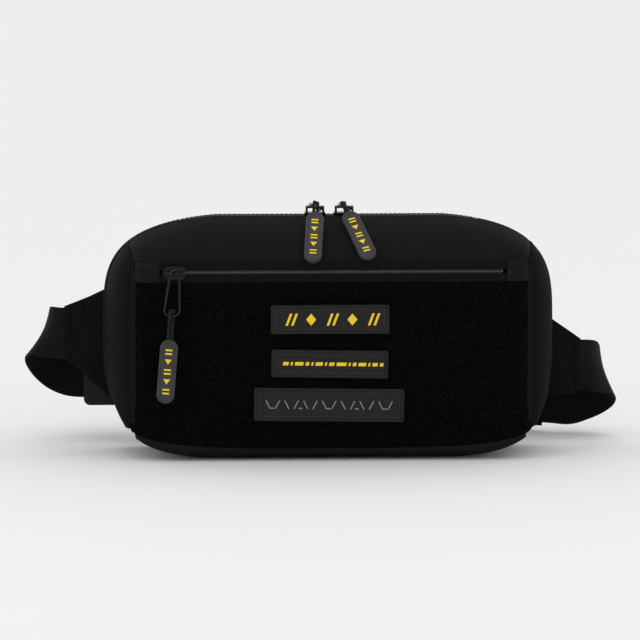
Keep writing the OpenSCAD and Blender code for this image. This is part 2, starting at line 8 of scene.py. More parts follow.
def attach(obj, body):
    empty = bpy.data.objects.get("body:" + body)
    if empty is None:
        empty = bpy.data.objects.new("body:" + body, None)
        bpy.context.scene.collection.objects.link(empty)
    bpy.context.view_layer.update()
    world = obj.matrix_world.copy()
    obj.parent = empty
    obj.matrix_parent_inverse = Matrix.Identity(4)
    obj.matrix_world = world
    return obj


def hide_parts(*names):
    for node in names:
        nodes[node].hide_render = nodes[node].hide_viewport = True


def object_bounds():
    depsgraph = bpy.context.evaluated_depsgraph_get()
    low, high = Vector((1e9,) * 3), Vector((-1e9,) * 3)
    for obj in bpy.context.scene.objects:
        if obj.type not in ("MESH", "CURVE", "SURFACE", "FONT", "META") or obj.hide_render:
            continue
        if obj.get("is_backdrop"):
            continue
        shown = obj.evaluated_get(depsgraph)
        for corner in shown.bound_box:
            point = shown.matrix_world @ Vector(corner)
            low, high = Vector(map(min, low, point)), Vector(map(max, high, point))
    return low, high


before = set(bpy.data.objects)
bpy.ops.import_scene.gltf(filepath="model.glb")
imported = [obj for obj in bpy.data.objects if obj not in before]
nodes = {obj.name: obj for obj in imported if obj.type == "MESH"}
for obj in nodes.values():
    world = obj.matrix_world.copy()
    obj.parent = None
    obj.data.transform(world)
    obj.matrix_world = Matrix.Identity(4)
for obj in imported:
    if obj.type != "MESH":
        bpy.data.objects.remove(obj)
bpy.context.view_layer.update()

mm = 0.001


# ---------- small helpers ----------
def addObject(name, mesh):
    obj = bpy.data.objects.new(name, mesh)
    bpy.context.scene.collection.objects.link(obj)
    return obj


def writeUv(mesh, uvs):
    # uvs are in metres, one pair for each point
    layer = mesh.uv_layers.get("cloth") or mesh.uv_layers.new(name="cloth")
    loops = np.empty(len(mesh.loops), int)
    mesh.loops.foreach_get("vertex_index", loops)
    layer.data.foreach_set("uv", uvs[loops].ravel())


def meshFrom(name, points, faces, uvs=None, edge=None, sharpAngle=38):
    # points in millimetres; uvs and edge are given per point
    mesh = bpy.data.meshes.new(name)
    mesh.from_pydata([tuple(p) for p in np.asarray(points, float) * mm], [], [tuple(f) for f in faces])
    if uvs is not None:
        writeUv(mesh, np.asarray(uvs, float) * mm)
    if edge is not None:
        attribute = mesh.attributes.new("edge", "FLOAT", "POINT")
        attribute.data.foreach_set("value", np.asarray(edge, np.float32))
    mesh.validate()
    mesh.shade_smooth()
    mesh.set_sharp_from_angle(angle=math.radians(sharpAngle))
    return mesh


def reworked(mesh, *changes):
    work = bmesh.new()
    work.from_mesh(mesh)
    for change in changes:
        change(work)
    work.to_mesh(mesh)
    work.free()


def outwards(work): bmesh.ops.recalc_face_normals(work, faces=work.faces)


def merged(work, dist=1e-7): bmesh.ops.remove_doubles(work, verts=work.verts, dist=dist)


def faceOutwards(mesh): reworked(mesh, merged, outwards)


def place(obj, material, body, slotName, *replaced):
    obj.data.materials.clear()
    obj.data.materials.append(material)
    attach(obj, body)
    if replaced:
        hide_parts(*replaced)
    return obj


def baked(obj, name):
    # the evaluated shape as one plain mesh, with the live modifiers gone
    bpy.context.view_layer.update()
    deps = bpy.context.evaluated_depsgraph_get()
    mesh = bpy.data.meshes.new_from_object(obj.evaluated_get(deps))
    mesh.name = name
    obj.modifiers.clear()
    old = obj.data
    obj.data = mesh
    if old.users == 0:
        bpy.data.meshes.remove(old)
    return obj


def turnX(degrees): return Matrix.Rotation(math.radians(degrees), 4, "X")
def turnY(degrees): return Matrix.Rotation(math.radians(degrees), 4, "Y")
def shift(x, y, z): return Matrix.Translation((x, y, z))


# ---------- camera, floor and lights ----------
studio = {"look": (-7.3, -33, 87.6), "away": 4000, "rise": 7.5, "turn": -2, "lens": 368,
          "floorTone": 0.875, "skyTone": 0.975, "keyPower": 0.6, "sidePower": 0.3}

cameraData = bpy.data.cameras.new("studioCamera")
cameraData.lens = studio["lens"]
cameraData.sensor_width = 36
cameraData.clip_end = 60
camera = addObject("studioCamera", cameraData)
lookAt = Vector(studio["look"]) * mm
lift = math.radians(studio["rise"])
turn = math.radians(studio["turn"])
back = Vector((math.sin(turn) * math.cos(lift), -math.cos(turn) * math.cos(lift), math.sin(lift)))
camera.location = lookAt + back * studio["away"] * mm
camera.rotation_mode = "QUATERNION"
camera.rotation_quaternion = (-back).to_track_quat("-Z", "Y")
bpy.context.scene.camera = camera
bpy.context.scene.view_settings.view_transform = "Standard"


# ---------- finishes ----------
def newFinish(name, colour, roughness, specular=0.3, sheen=0.0, sheenRoughness=0.5, metallic=0.0):
    material = bpy.data.materials.new(name)
    material.use_nodes = True
    shader = material.node_tree.nodes["Principled BSDF"]
    shader.inputs["Base Color"].default_value = (*colour, 1)
    shader.inputs["Roughness"].default_value = roughness
    shader.inputs["Specular IOR Level"].default_value = specular
    shader.inputs["Sheen Weight"].default_value = sheen
    shader.inputs["Sheen Roughness"].default_value = sheenRoughness
    shader.inputs["Metallic"].default_value = metallic
    return material, material.node_tree, shader


def feed(tree, socket, value):
    if isinstance(value, (int, float, tuple)):
        socket.default_value = value
    else:
        tree.links.new(value, socket)


def calc(tree, operation, a, b=None, c=None):
    node = tree.nodes.new("ShaderNodeMath")
    node.operation = operation
    for socket, value in zip(node.inputs, (a, b, c)):
        if value is not None:
            feed(tree, socket, value)
    return node.outputs[0]


def plus(tree, a, b): return calc(tree, "ADD", a, b)


def times(tree, a, b): return calc(tree, "MULTIPLY", a, b)


def speckle(tree, scale, detail=2.0, coords=None):
    node = tree.nodes.new("ShaderNodeTexNoise")
    node.inputs["Scale"].default_value = scale
    node.inputs["Detail"].default_value = detail
    if coords is None:
        coords = tree.nodes.new("ShaderNodeTexCoord").outputs["Object"]
    tree.links.new(coords, node.inputs["Vector"])
    return node.outputs[0]


def ramp(tree, factor, low, high, lowAt=0.3, highAt=0.7):
    node = tree.nodes.new("ShaderNodeValToRGB")
    node.color_ramp.elements[0].position = lowAt
    node.color_ramp.elements[0].color = (*low, 1)
    node.color_ramp.elements[1].position = highAt
    node.color_ramp.elements[1].color = (*high, 1)
    tree.links.new(factor, node.inputs[0])
    return node.outputs[0]


def blendColour(tree, factor, a, b):
    node = tree.nodes.new("ShaderNodeMix")
    node.data_type = "RGBA"
    feed(tree, node.inputs[0], factor)
    feed(tree, node.inputs[6], a)
    feed(tree, node.inputs[7], b)
    return node.outputs[2]


def bump(tree, shader, height, depth, strength=1.0, under=None):
    node = tree.nodes.new("ShaderNodeBump")
    node.inputs["Strength"].default_value = strength
    node.inputs["Distance"].default_value = depth * mm
    tree.links.new(height, node.inputs["Height"])
    if under is not None:
        tree.links.new(under, node.inputs["Normal"])
    tree.links.new(node.outputs[0], shader.inputs["Normal"])
    return node.outputs[0]


def tint(tree, shader, factor, tone, low, high, *span):
    tree.links.new(ramp(tree, factor, grey(tone * low), grey(tone * high), *span), shader.inputs["Base Color"])


def roughen(tree, shader, factor, share, least):
    tree.links.new(plus(tree, times(tree, factor, share), least), shader.inputs["Roughness"])


def clothCoords(tree):
    node = tree.nodes.new("ShaderNodeUVMap")
    node.uv_map = "cloth"
    parts = tree.nodes.new("ShaderNodeSeparateXYZ")
    tree.links.new(node.outputs[0], parts.inputs[0])
    return parts.outputs[0], parts.outputs[1], node.outputs[0]


def weave(tree, thread, step):
    # threads that pass over and under: step 2 is a plain weave, 4 a twill
    u, v, coords = clothCoords(tree)
    u = calc(tree, "DIVIDE", u, thread * mm)
    v = calc(tree, "DIVIDE", v, thread * mm)
    crossing = plus(tree, calc(tree, "FLOOR", u), calc(tree, "FLOOR", v))
    over = calc(tree, "LESS_THAN", calc(tree, "FLOORED_MODULO", crossing, float(step)), step / 2 - 0.5)
    acrossU = calc(tree, "ABSOLUTE", calc(tree, "SINE", times(tree, u, math.pi)))
    acrossV = calc(tree, "ABSOLUTE", calc(tree, "SINE", times(tree, v, math.pi)))
    one = times(tree, acrossU, over)
    other = times(tree, acrossV, calc(tree, "SUBTRACT", 1.0, over))
    return plus(tree, one, other), coords


def grey(value): return (value, value, value)


def clothFinish(name, tone, thread, step, depth, roughness, specular, sheen=0.0, wear=1.5):
    material, tree, shader = newFinish(name, grey(tone), roughness, specular, sheen)
    height, _ = weave(tree, thread, step)
    patchy = speckle(tree, 55, 3)
    fleck = speckle(tree, 1300, 2)
    # the colour darkens where the weave is low, between the threads: painted shade; the patchy noise adds random tone
    tint = times(tree, plus(tree, times(tree, height, 0.55), 0.45),
                plus(tree, times(tree, patchy, 0.5), 0.75))
    colour = ramp(tree, tint, grey(tone * 0.45), grey(tone * 1.5), 0.15, 1.0)
    worn = tree.nodes.new("ShaderNodeAttribute")
    worn.attribute_name = "edge"
    rubbed = times(tree, worn.outputs["Fac"], times(tree, fleck, 0.9))
    colour = blendColour(tree, rubbed, colour, (*grey(tone * wear * 1.6), 1))
    tree.links.new(colour, shader.inputs["Base Color"])
    roughen(tree, shader, patchy, 0.16, roughness - 0.08)
    fuzz = plus(tree, height, times(tree, fleck, 0.5))
    bump(tree, shader, fuzz, depth, 0.8)
    return material


def rubberFinish(name, tone, roughness, grain=2600, depth=0.03, specular=0.35):
    material, tree, shader = newFinish(name, grey(tone), roughness, specular)
    fine = speckle(tree, grain, 3)
    cloud = speckle(tree, 120, 2)
    tint(tree, shader, cloud, tone, 0.86, 1.16)
    roughen(tree, shader, cloud, 0.18, roughness - 0.09)
    bump(tree, shader, fine, depth, 0.6)
    return material


def inkFinish(name, colour):
    material, tree, shader = newFinish(name, colour, 0.45, 0.3)
    cloud = speckle(tree, 900, 3)
    tree.links.new(ramp(tree, cloud, tuple(c * 0.86 for c in colour), colour), shader.inputs["Base Color"])
    bump(tree, shader, cloud, 0.03, 0.5)
    return material


def ribFinish(name, tone, rib, roughness, specular, depth, alongU=True):
    # raised ribs that run across a tape or webbing
    material, tree, shader = newFinish(name, grey(tone), roughness, specular, 0.004)
    u, v, coords = clothCoords(tree)
    along, across = (u, v) if alongU else (v, u)
    wave = calc(tree, "SINE", times(tree, along, math.tau / (rib * mm)))
    cross = calc(tree, "SINE", times(tree, across, math.tau / (rib * 1.7 * mm)))
    height = plus(tree, times(tree, wave, 0.5), times(tree, cross, 0.3))
    height = plus(tree, height, 0.8)
    fleck = speckle(tree, 1500, 2)
    both = times(tree, height, plus(tree, times(tree, fleck, 0.6), 0.5))
    # the colour darkens in the troughs between the ribs: painted shade, mixed with random flecks
    tint(tree, shader, both, tone, 0.4, 1.5, 0.1, 1.2)
    roughen(tree, shader, fleck, 0.2, roughness - 0.1)
    bump(tree, shader, both, depth, 0.8)
    return material


def pileFinish(name, tone):
    material, tree, shader = newFinish(name, grey(tone), 0.95, 0.01, 0.002, 0.6)
    clumps = speckle(tree, 480, 3)
    hairs = speckle(tree, 2600, 2)
    mixed = times(tree, plus(tree, clumps, 0.1), plus(tree, hairs, 0.3))
    tint(tree, shader, mixed, tone, 0.25, 2.6, 0.25, 0.75)
    bump(tree, shader, hairs, 0.25, 0.9)
    return material


def metalFinish(name, tone, roughness, specular=0.5, metallic=0.0):
    material, tree, shader = newFinish(name, grey(tone), roughness, specular, metallic=metallic)
    cloud = speckle(tree, 700, 3)
    tint(tree, shader, cloud, tone, 0.7, 1.4)
    roughen(tree, shader, cloud, 0.14, roughness - 0.06)
    bump(tree, shader, cloud, 0.02, 0.4)
    return material


def cordFinish(name, tone):
    material, tree, shader = newFinish(name, grey(tone), 0.6, 0.15, 0.04)
    u, v, coords = clothCoords(tree)
    alongCord = times(tree, u, math.tau / (1.1 * mm))
    roundCord = times(tree, v, math.tau / (1.5 * mm))
    left = calc(tree, "SINE", plus(tree, alongCord, roundCord))
    right = calc(tree, "SINE", calc(tree, "SUBTRACT", alongCord, roundCord))
    braid = plus(tree, times(tree, calc(tree, "MAXIMUM", left, right), 0.5), 0.5)
    # the colour darkens between the braid's strands: painted shade
    tint(tree, shader, braid, tone, 0.4, 1.6, 0.1, 1.0)
    bump(tree, shader, braid, 0.12, 0.9)
    return material


def meshFinish(name, tone):
    # spacer mesh with rows of small open cells
    material, tree, shader = newFinish(name, grey(tone), 0.85, 0.08, 0.04)
    cells = tree.nodes.new("ShaderNodeTexVoronoi")
    cells.inputs["Scale"].default_value = 330
    cells.inputs["Randomness"].default_value = 0.12
    tree.links.new(tree.nodes.new("ShaderNodeTexCoord").outputs["Object"], cells.inputs["Vector"])
    # the cell centres are darker, standing for the open holes: painted shade in them
    tint(tree, shader, cells.outputs["Distance"], tone, 0.4, 1.2, 0.1, 0.5)
    bump(tree, shader, cells.outputs["Distance"], 0.5, 0.9)
    return material


finish = {
    "shell": clothFinish("shellTwill", 0.0064, 0.7, 4, 0.12, 0.72, 0.045, 0.002),
    "side": clothFinish("sideTwill", 0.0052, 0.8, 4, 0.16, 0.78, 0.03, 0.001),
    "wing": clothFinish("wingTwill", 0.0052, 0.8, 4, 0.16, 0.76, 0.03, 0.001),
    "binding": clothFinish("bindingWeave", 0.0075, 0.6, 2, 0.12, 0.65, 0.1, 0.002),
    "lining": clothFinish("liningNylon", 0.045, 0.3, 2, 0.05, 0.5, 0.25),
    "loopBase": pileFinish("loopGround", 0.0022),
    "loopPile": pileFinish("loopPile", 0.0046),
    "backMesh": meshFinish("backMesh", 0.012),
    "zipTape": ribFinish("zipTapeRib", 0.006, 0.9, 0.75, 0.05, 0.2),
    "zipCoil": rubberFinish("zipCoilNylon", 0.018, 0.35, 3000, 0.01, 0.4),
    "mainCoil": rubberFinish("mainCoilNylon", 0.014, 0.35, 3000, 0.01, 0.4),
    "slider": metalFinish("sliderBlack", 0.002, 0.2, 0.22),
    "wire": metalFinish("wireBlack", 0.001, 0.13, 0.3),
    "cord": cordFinish("pullCordBraid", 0.006),
    "tag": rubberFinish("tagRubber", 0.034, 0.5, 2400, 0.02, 0.3),
    "patch": rubberFinish("patchRubber", 0.014, 0.62, 2600, 0.05, 0.15),
    "hook": clothFinish("hookTape", 0.006, 0.9, 2, 0.3, 0.7, 0.1),
    "webbing": ribFinish("webbingRib", 0.005, 1.5, 0.62, 0.06, 0.35),
    "elastic": ribFinish("elasticRib", 0.005, 0.8, 0.8, 0.04, 0.2, False),
    "plastic": rubberFinish("bucklePlastic", 0.005, 0.42, 2200, 0.03, 0.2),
    "thread": clothFinish("threadBlack", 0.0065, 0.35, 2, 0.05, 0.6, 0.06),
    "patchThread": clothFinish("patchThread", 0.05, 0.35, 2, 0.05, 0.55, 0.2),
    "yellow": inkFinish("yellowInk", (0.88, 0.62, 0.02)),
    # grey for printed marks, and also for the painted highlight dots on the pocket coil
    "greyInk": inkFinish("greyInk", (0.22, 0.22, 0.22)),
}
print("finishes made:", len(finish))

# floor and light
floorFinish, floorTree, floorShader = newFinish("floorPaper", grey(studio["floorTone"]), 0.9, 0.1)
paper = speckle(floorTree, 3, 2)
floorTree.links.new(ramp(floorTree, paper, grey(studio["floorTone"] * 0.995), grey(studio["floorTone"])),
                    floorShader.inputs["Base Color"])
floorMesh = bpy.data.meshes.new("floor")
floorMesh.from_pydata([(-30, -30, 0), (30, -30, 0), (30, 30, 0), (-30, 30, 0)], [], [(0, 1, 2, 3)])
floorMesh.materials.append(floorFinish)
floor = addObject("floor", floorMesh)
floor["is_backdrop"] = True

world = bpy.data.worlds.new("studioSky")
world.use_nodes = True
world.node_tree.nodes["Background"].inputs[0].default_value = (*grey(studio["skyTone"]), 1)
world.node_tree.nodes["Background"].inputs[1].default_value = 1.0
bpy.context.scene.world = world
for lampName, at, size, power in (
        ("keyLamp", (-0.35, -0.6, 1.25), 0.08, studio["keyPower"]),
        ("leftLamp", (-1.1, -0.7, 0.45), 0.07, studio["sidePower"]),
        ("rightLamp", (1.1, -0.6, 0.5), 0.07, studio["sidePower"])):
    lamp = bpy.data.lights.new(lampName, "AREA")
    lamp.size = size
    lamp.energy = power
    lampObject = addObject(lampName, lamp)
    lampObject.location = at
    lampObject.rotation_mode = "QUATERNION"
    lampObject.rotation_quaternion = (Vector((0, 0, 0.09)) - Vector(at)).to_track_quat("-Z", "Y")

# ---------- the shell's surface ----------
# outlines shrink from the back (s = 0) to the front (s = 1); lengths in millimetres
shell = {"height": 148, "depth": 66, "halfBack": 138, "halfFront": 114, "topFront": 120.6, "lowFront": 14,
         "crest": 0.45, "backDrop": 5, "flatOver": 1.5, "sideRound": 3.5, "yokeRound": 1.6,
         "baseRound": 6, "cornerTop": 3.8, "cornerLow": 3.6, "cornerFront": 7, "cloth": 1.6,
         "seamNear": 120.3, "seamFar": 125.0, "seamBow": 6, "fieldTop": 110.6, "bandTop": 123.8,
         "lowSeam": 7.4, "seamRoll": 0.9}
midZ = shell["height"] / 2
frontY, backY = -shell["depth"] / 2, shell["depth"] / 2


def ease(s, power): return np.sqrt(np.maximum(0, 1 - np.power(s, power)))


def halfWidth(s):
    return shell["halfFront"] + (shell["halfBack"] - shell["halfFront"]) * ease(s, shell["sideRound"])


def topZ(s):
    rear = shell["height"] - shell["backDrop"] * (1 - s / shell["crest"]) ** 2
    q = np.clip((s - shell["crest"]) / (1 - shell["crest"]), 0, 1)
    front = shell["topFront"] + (shell["height"] - shell["topFront"]) * np.maximum(
        0, 1 - q ** shell["yokeRound"]) ** (1 / shell["yokeRound"])
    return np.where(s < shell["crest"], rear, front)


def lowZ(s): return np.maximum(0, shell["lowFront"] * (1 - ease(s, shell["baseRound"])) - 0.8)


def cornerPower(s, upper):
    start = np.where(upper, shell["cornerTop"], shell["cornerLow"])
    return start + (shell["cornerFront"] - start) * s ** 4


def sideX(z, s):
    reach = np.where(z > midZ, topZ(s) + shell["flatOver"] - midZ, midZ - lowZ(s) + shell["flatOver"])
    c = cornerPower(s, z > midZ)
    return halfWidth(s) * np.maximum(0, 1 - np.minimum(1, np.abs(z - midZ) / reach) ** c) ** (1 / c)


def keepShare(x, s, upper):
    c = cornerPower(s, upper)
    return np.maximum(0, 1 - np.minimum(1, np.abs(x) / halfWidth(s)) ** c) ** (1 / c)


def roofZ(x, s):
    return np.minimum(topZ(s), midZ + (topZ(s) + shell["flatOver"] - midZ) * keepShare(x, s, True))


def floorZ(x, s):
    return np.maximum(lowZ(s), midZ - (midZ - lowZ(s) + shell["flatOver"]) * keepShare(x, s, False))


def insideShell(x, z, s): return (np.abs(x) <= sideX(z, s)) & (z <= topZ(s)) & (z >= lowZ(s))


def depthAt(x, z):
    x, z = np.broadcast_arrays(np.asarray(x, float), np.asarray(z, float))
    low, high = np.zeros(x.shape), np.ones(x.shape)
    for _ in range(26):
        middle = (low + high) / 2
        good = insideShell(x, z, middle)
        low, high = np.where(good, middle, low), np.where(good, high, middle)
    return np.where(insideShell(x, z, np.ones(x.shape)), 1.0, (low + high) / 2)


def depthY(s): return backY - s * shell["depth"]


def seamX(z):
    bow = np.minimum(1, np.abs((z - 76) / 57) ** shell["seamBow"])
    return shell["seamNear"] + (shell["seamFar"] - shell["seamNear"]) * bow


def lowSeam(x): return shell["lowSeam"] + 8 * (np.abs(x) / 121) ** 4


def evenAndClose(n, close=0.12):
    # -1 to 1, mostly even, with a few closer rows at the two ends
    t = np.linspace(-1, 1, n)
    return t * (1 - close) + close * np.sin(t * math.pi / 2)


def ripple(points, size, depth, seed):
    # soft waves of cloth: one low and one higher pitch
    out = np.empty(len(points))
    for i, p in enumerate(points):
        q = Vector((p[0] / size + seed, p[1] / size, p[2] / size))
        out[i] = noise.noise(q) + 0.4 * noise.noise(q * 2.7)
    return out * depth


def gridNormals(grid):
    across = np.gradient(grid, axis=0)
    along = np.gradient(grid, axis=1)
    n = np.cross(across, along)
    n /= np.maximum(1e-9, np.linalg.norm(n, axis=2, keepdims=True))
    outward = grid - np.array([0, 8, midZ])
    if (n * outward).sum() < 0:
        n = -n
    return n


def quadGrid(rows, cols):
    starts = [i * cols + j for i in range(rows - 1) for j in range(cols - 1)]
    return [(a, a + cols, a + cols + 1, a + 1) for a in starts]


def closedGrid(rows, cols):
    # faces of two matching grids, joined at the rim, and the indices round that rim
    count = rows * cols
    faces = []
    for quad in quadGrid(rows, cols):
        faces += [quad, tuple(count + k for k in reversed(quad))]
    ring = list(range(cols)) + [i * cols + cols - 1 for i in range(1, rows)]
    ring += [(rows - 1) * cols + j for j in range(cols - 2, -1, -1)] + [i * cols for i in range(rows - 2, 0, -1)]
    faces += [(a, b, count + b, count + a) for a, b in zip(ring, ring[1:] + ring[:1])]
    return faces, ring


def clothPanel(name, grid, roll=None, rollWide=2.4, rollEnds=(1, 1, 1, 1), wave=(38, 0.25, 0), thick=None):
    # a sewn panel: rows of points on the shell, edges turned in at the seams, closed at the rim
    roll = shell["seamRoll"] if roll is None else roll
    thick = shell["cloth"] if thick is None else thick
    grid = np.asarray(grid, float)
    rows, cols = grid.shape[:2]
    normals = gridNormals(grid)
    stepA = np.vstack([np.zeros((1, cols)), np.linalg.norm(np.diff(grid, axis=0), axis=2)]).cumsum(0)
    stepB = np.hstack([np.zeros((rows, 1)), np.linalg.norm(np.diff(grid, axis=1), axis=2)]).cumsum(1)
    gaps = [stepA, stepA[-1:, :] - stepA, stepB, stepB[:, -1:] - stepB]
    near = np.full((rows, cols), 1e3)
    for gap, on in zip(gaps, rollEnds):
        if on:
            near = np.minimum(near, gap)
    sink = roll * np.exp(-(near / rollWide) ** 2)
    swell = 0.35 * np.exp(-((near - 3.4) / 2.2) ** 2) * (roll > 0)
    soft = ripple(grid.reshape(-1, 3), *wave).reshape(rows, cols) * np.clip(near / 8, 0, 1)
    outer = grid + normals * (swell + soft - sink)[..., None]
    inner = outer - normals * thick
    points = np.vstack([outer.reshape(-1, 3), inner.reshape(-1, 3)])
    faces, _ = closedGrid(rows, cols)
    uv = np.stack([stepA, stepB], axis=2).reshape(-1, 2)
    worn = np.clip(1 - near / 5, 0, 1).reshape(-1)
    mesh = meshFrom(name, points, faces, np.vstack([uv, uv]), np.concatenate([worn, worn]))
    faceOutwards(mesh)
    mesh.shade_smooth()
    mesh.set_sharp_from_angle(angle=math.radians(50))
    return addObject(name, mesh), outer


def onFront(x, z): return np.stack([x, depthY(depthAt(x, z)), z], axis=-1)


# front field of loop fabric
xs = evenAndClose(121)
fs = (evenAndClose(53) + 1) / 2
gx, gf = np.meshgrid(xs, fs, indexing="ij")
low = lowSeam(gx * 121) + 0.3
gz = low + (shell["fieldTop"] - low) * gf
gx = gx * (seamX(gz) - 0.3)
gz = lowSeam(gx) + 0.3 + (shell["fieldTop"] - lowSeam(gx) - 0.3) * gf
loopPanel, loopOuter = clothPanel("loop_panel", onFront(gx, gz), rollEnds=(1, 1, 1, 1), wave=(46, 0.35, 3.1))
place(loopPanel, finish["loopBase"], "bag", "loop_pile", "front_loop_panel")

# yoke, from the pocket zip over the crest to the main zip
mainZip = {"y": 9, "tape": 6, "coilHalf": 0.9, "gap": 0.3}
mainHalf = mainZip["coilHalf"] + mainZip["tape"] + mainZip["gap"]
rearS = (backY - (mainZip["y"] + mainHalf)) / shell["depth"]
frontS = (backY - (mainZip["y"] - mainHalf)) / shell["depth"]


def roofGrid(nx, ns, startS, endS, lowEdge=None):
    g = evenAndClose(nx)
    t = np.sin(np.linspace(0, math.pi / 2, ns)) if lowEdge is not None else np.linspace(0, 1, ns)
    gg, tt = np.meshgrid(g, t, indexing="ij")
    wide = np.full(gg.shape, 122.0)
    for _ in range(4):
        x = gg * wide
        stop = depthAt(x, np.full(x.shape, float(lowEdge))) if lowEdge is not None else endS
        s = startS + (stop - startS) * tt
        z = roofZ(x, s)
        wide = seamX(np.minimum(z, 133)) * (z < 133) + shell["seamFar"] * (z >= 133) - 0.3
    return np.stack([gg * wide, depthY(s), roofZ(gg * wide, s)], axis=-1)


yoke, _ = clothPanel("yoke", roofGrid(101, 30, frontS, 1, shell["bandTop"]), wave=(42, 0.4, 7.7))
place(yoke, finish["shell"], "bag", "shell_fabric", "front_yoke")
rearTop, _ = clothPanel("rear_top", roofGrid(81, 12, 0.0, rearS), wave=(42, 0.3, 1.2))
place(rearTop, finish["shell"], "bag", "shell_fabric", "rear_top_panel")

# side panels: everything outside the bowed seam, from the seam to the back edge


def ringPoint(angle, s):
    upper = np.sin(angle) >= 0
    c = cornerPower(s, upper)
    reach = np.where(upper, topZ(s) + shell["flatOver"] - midZ, midZ - lowZ(s) + shell["flatOver"])
    out = (np.abs(np.cos(angle)) ** c + np.abs(np.sin(angle)) ** c) ** (-1 / c)
    z = midZ + np.sin(angle) * out * reach
    return np.stack([halfWidth(s) * np.cos(angle) * out, depthY(s), np.clip(z, lowZ(s), topZ(s))], axis=-1)


def seamAngle(s, upper):
    x = np.full(s.shape, 122.0)
    sign = 1 if upper else -1
    c = cornerPower(s, np.full(s.shape, upper))
    for _ in range(12):
        across = np.minimum(1, x / halfWidth(s))
        angle = sign * np.arctan2((1 - across ** c) ** (1 / c), across)
        x = seamX(ringPoint(angle, s)[..., 2])
    return angle


def evenly(angle, s, n):
    points = ringPoint(angle, s)
    run = np.concatenate([[0], np.linalg.norm(np.diff(points, axis=0), axis=1).cumsum()])
    want = np.linspace(0, run[-1], n)
    return np.interp(want, run, angle), np.interp(want, run, s)


lowS, highS = 0.5, 0.9999
for _ in range(40):
    trial = (lowS + highS) / 2
    if halfWidth(np.array(trial)) > shell["seamNear"] + 0.35:
        lowS = trial
    else:
        highS = trial
turnS = lowS
sFine = turnS * np.sin(np.linspace(0, math.pi / 2, 400))
seamAngles = np.concatenate([seamAngle(sFine, False), seamAngle(sFine[::-1], True)])
seamDepths = np.concatenate([sFine, sFine[::-1]])
rows = 73
angleA, sA = evenly(seamAngles, seamDepths, rows)
backAngles = np.linspace(seamAngles[0], seamAngles[-1], 800)
angleB, sB = evenly(backAngles, np.zeros(800), rows)
t = np.linspace(0, 1, 29) ** 0.9
sideGrid = ringPoint(angleA[:, None] * (1 - t) + angleB[:, None] * t, sA[:, None] * (1 - t) + 0 * t)
for side, word in ((-1, "left"), (1, "right")):
    grid = sideGrid * np.array([side, 1, 1])
    panel, _ = clothPanel("side_" + word, grid, wave=(30, 0.5, 11 + side))
    place(panel, finish["side"], "bag", "side_fabric", "side_panel_" + word)

# bottom gusset
g = evenAndClose(91)
t = np.sin(np.linspace(0, math.pi / 2, 26))
gg, tt = np.meshgrid(g, t, indexing="ij")
gx = gg * (shell["seamFar"] - 0.3)
endS = np.maximum(0.06, depthAt(gx, lowSeam(gx)))
s = endS * tt
gz = np.minimum(floorZ(gx, s), lowSeam(gx) - 0.05)
gusset, _ = clothPanel("gusset", np.stack([gx, depthY(s), gz], axis=-1), wave=(40, 0.0, 2), thick=1.4, roll=0.5)
place(gusset, finish["shell"], "bag", "shell_fabric", "bottom_gusset")

# covers at the ends of both zips: where they start and stop from the middle, and the pocket's height
zipEnd = {"main": 89.3, "pocket": 106.3, "shift": 1, "far": 120.6, "low": 111.0, "high": 12.4}
for side, word in ((-1, "left"), (1, "right")):
    u = np.linspace(0, 1, 14)
    gx, gs = np.meshgrid(zipEnd["main"] + (shell["seamFar"] - 0.6 - zipEnd["main"]) * u,
                         rearS + (frontS - rearS) * u, indexing="ij")
    cover, _ = clothPanel("main_end_" + word, np.stack([side * gx, depthY(gs), roofZ(gx, gs)], axis=-1),
                          wave=(30, 0.1, 5), roll=0.6)
    place(cover, finish["shell"], "bag", "shell_fabric", "main_zip_end_" + word)
    near = zipEnd["pocket"] + side * zipEnd["shift"]
    gx, gz = np.meshgrid(near + (zipEnd["far"] - near) * u, zipEnd["low"] + zipEnd["high"] * u, indexing="ij")
    tab, _ = clothPanel("front_end_" + word, onFront(side * gx, gz), wave=(30, 0.1, 9), roll=0.6)
    place(tab, finish["shell"], "bag", "shell_fabric", "front_zip_end_" + word)
print("shell panels made")


# ---------- repeated pieces by Geometry Nodes ----------
def addInput(tree, name, kind, value=None):
    socket = tree.interface.new_socket(name=name, in_out="INPUT", socket_type=kind)
    if value is not None:
        socket.default_value = value
    return socket


def treeNode(tree, kind, **settings):
    node = tree.nodes.new(kind)
    for key, value in settings.items():
        setattr(node, key, value)
    return node


def newTree(name, inputs, result):
    tree = bpy.data.node_groups.new(name, "GeometryNodeTree")
    for label, kind, value in inputs:
        addInput(tree, label, "NodeSocket" + kind, value)
    tree.interface.new_socket(name=result, in_out="OUTPUT", socket_type="NodeSocketGeometry")
    return tree, treeNode(tree, "NodeGroupInput")


def endTree(tree, start, copies):
    # copies become plain geometry with a material
    solid = treeNode(tree, "GeometryNodeRealizeInstances")
    dress = treeNode(tree, "GeometryNodeSetMaterial")
    tree.links.new(copies.outputs[0], solid.inputs[0])
    tree.links.new(solid.outputs[0], dress.inputs["Geometry"])
    tree.links.new(start.outputs["Finish"], dress.inputs["Material"])
    tree.links.new(dress.outputs[0], treeNode(tree, "NodeGroupOutput").inputs[0])
    return tree


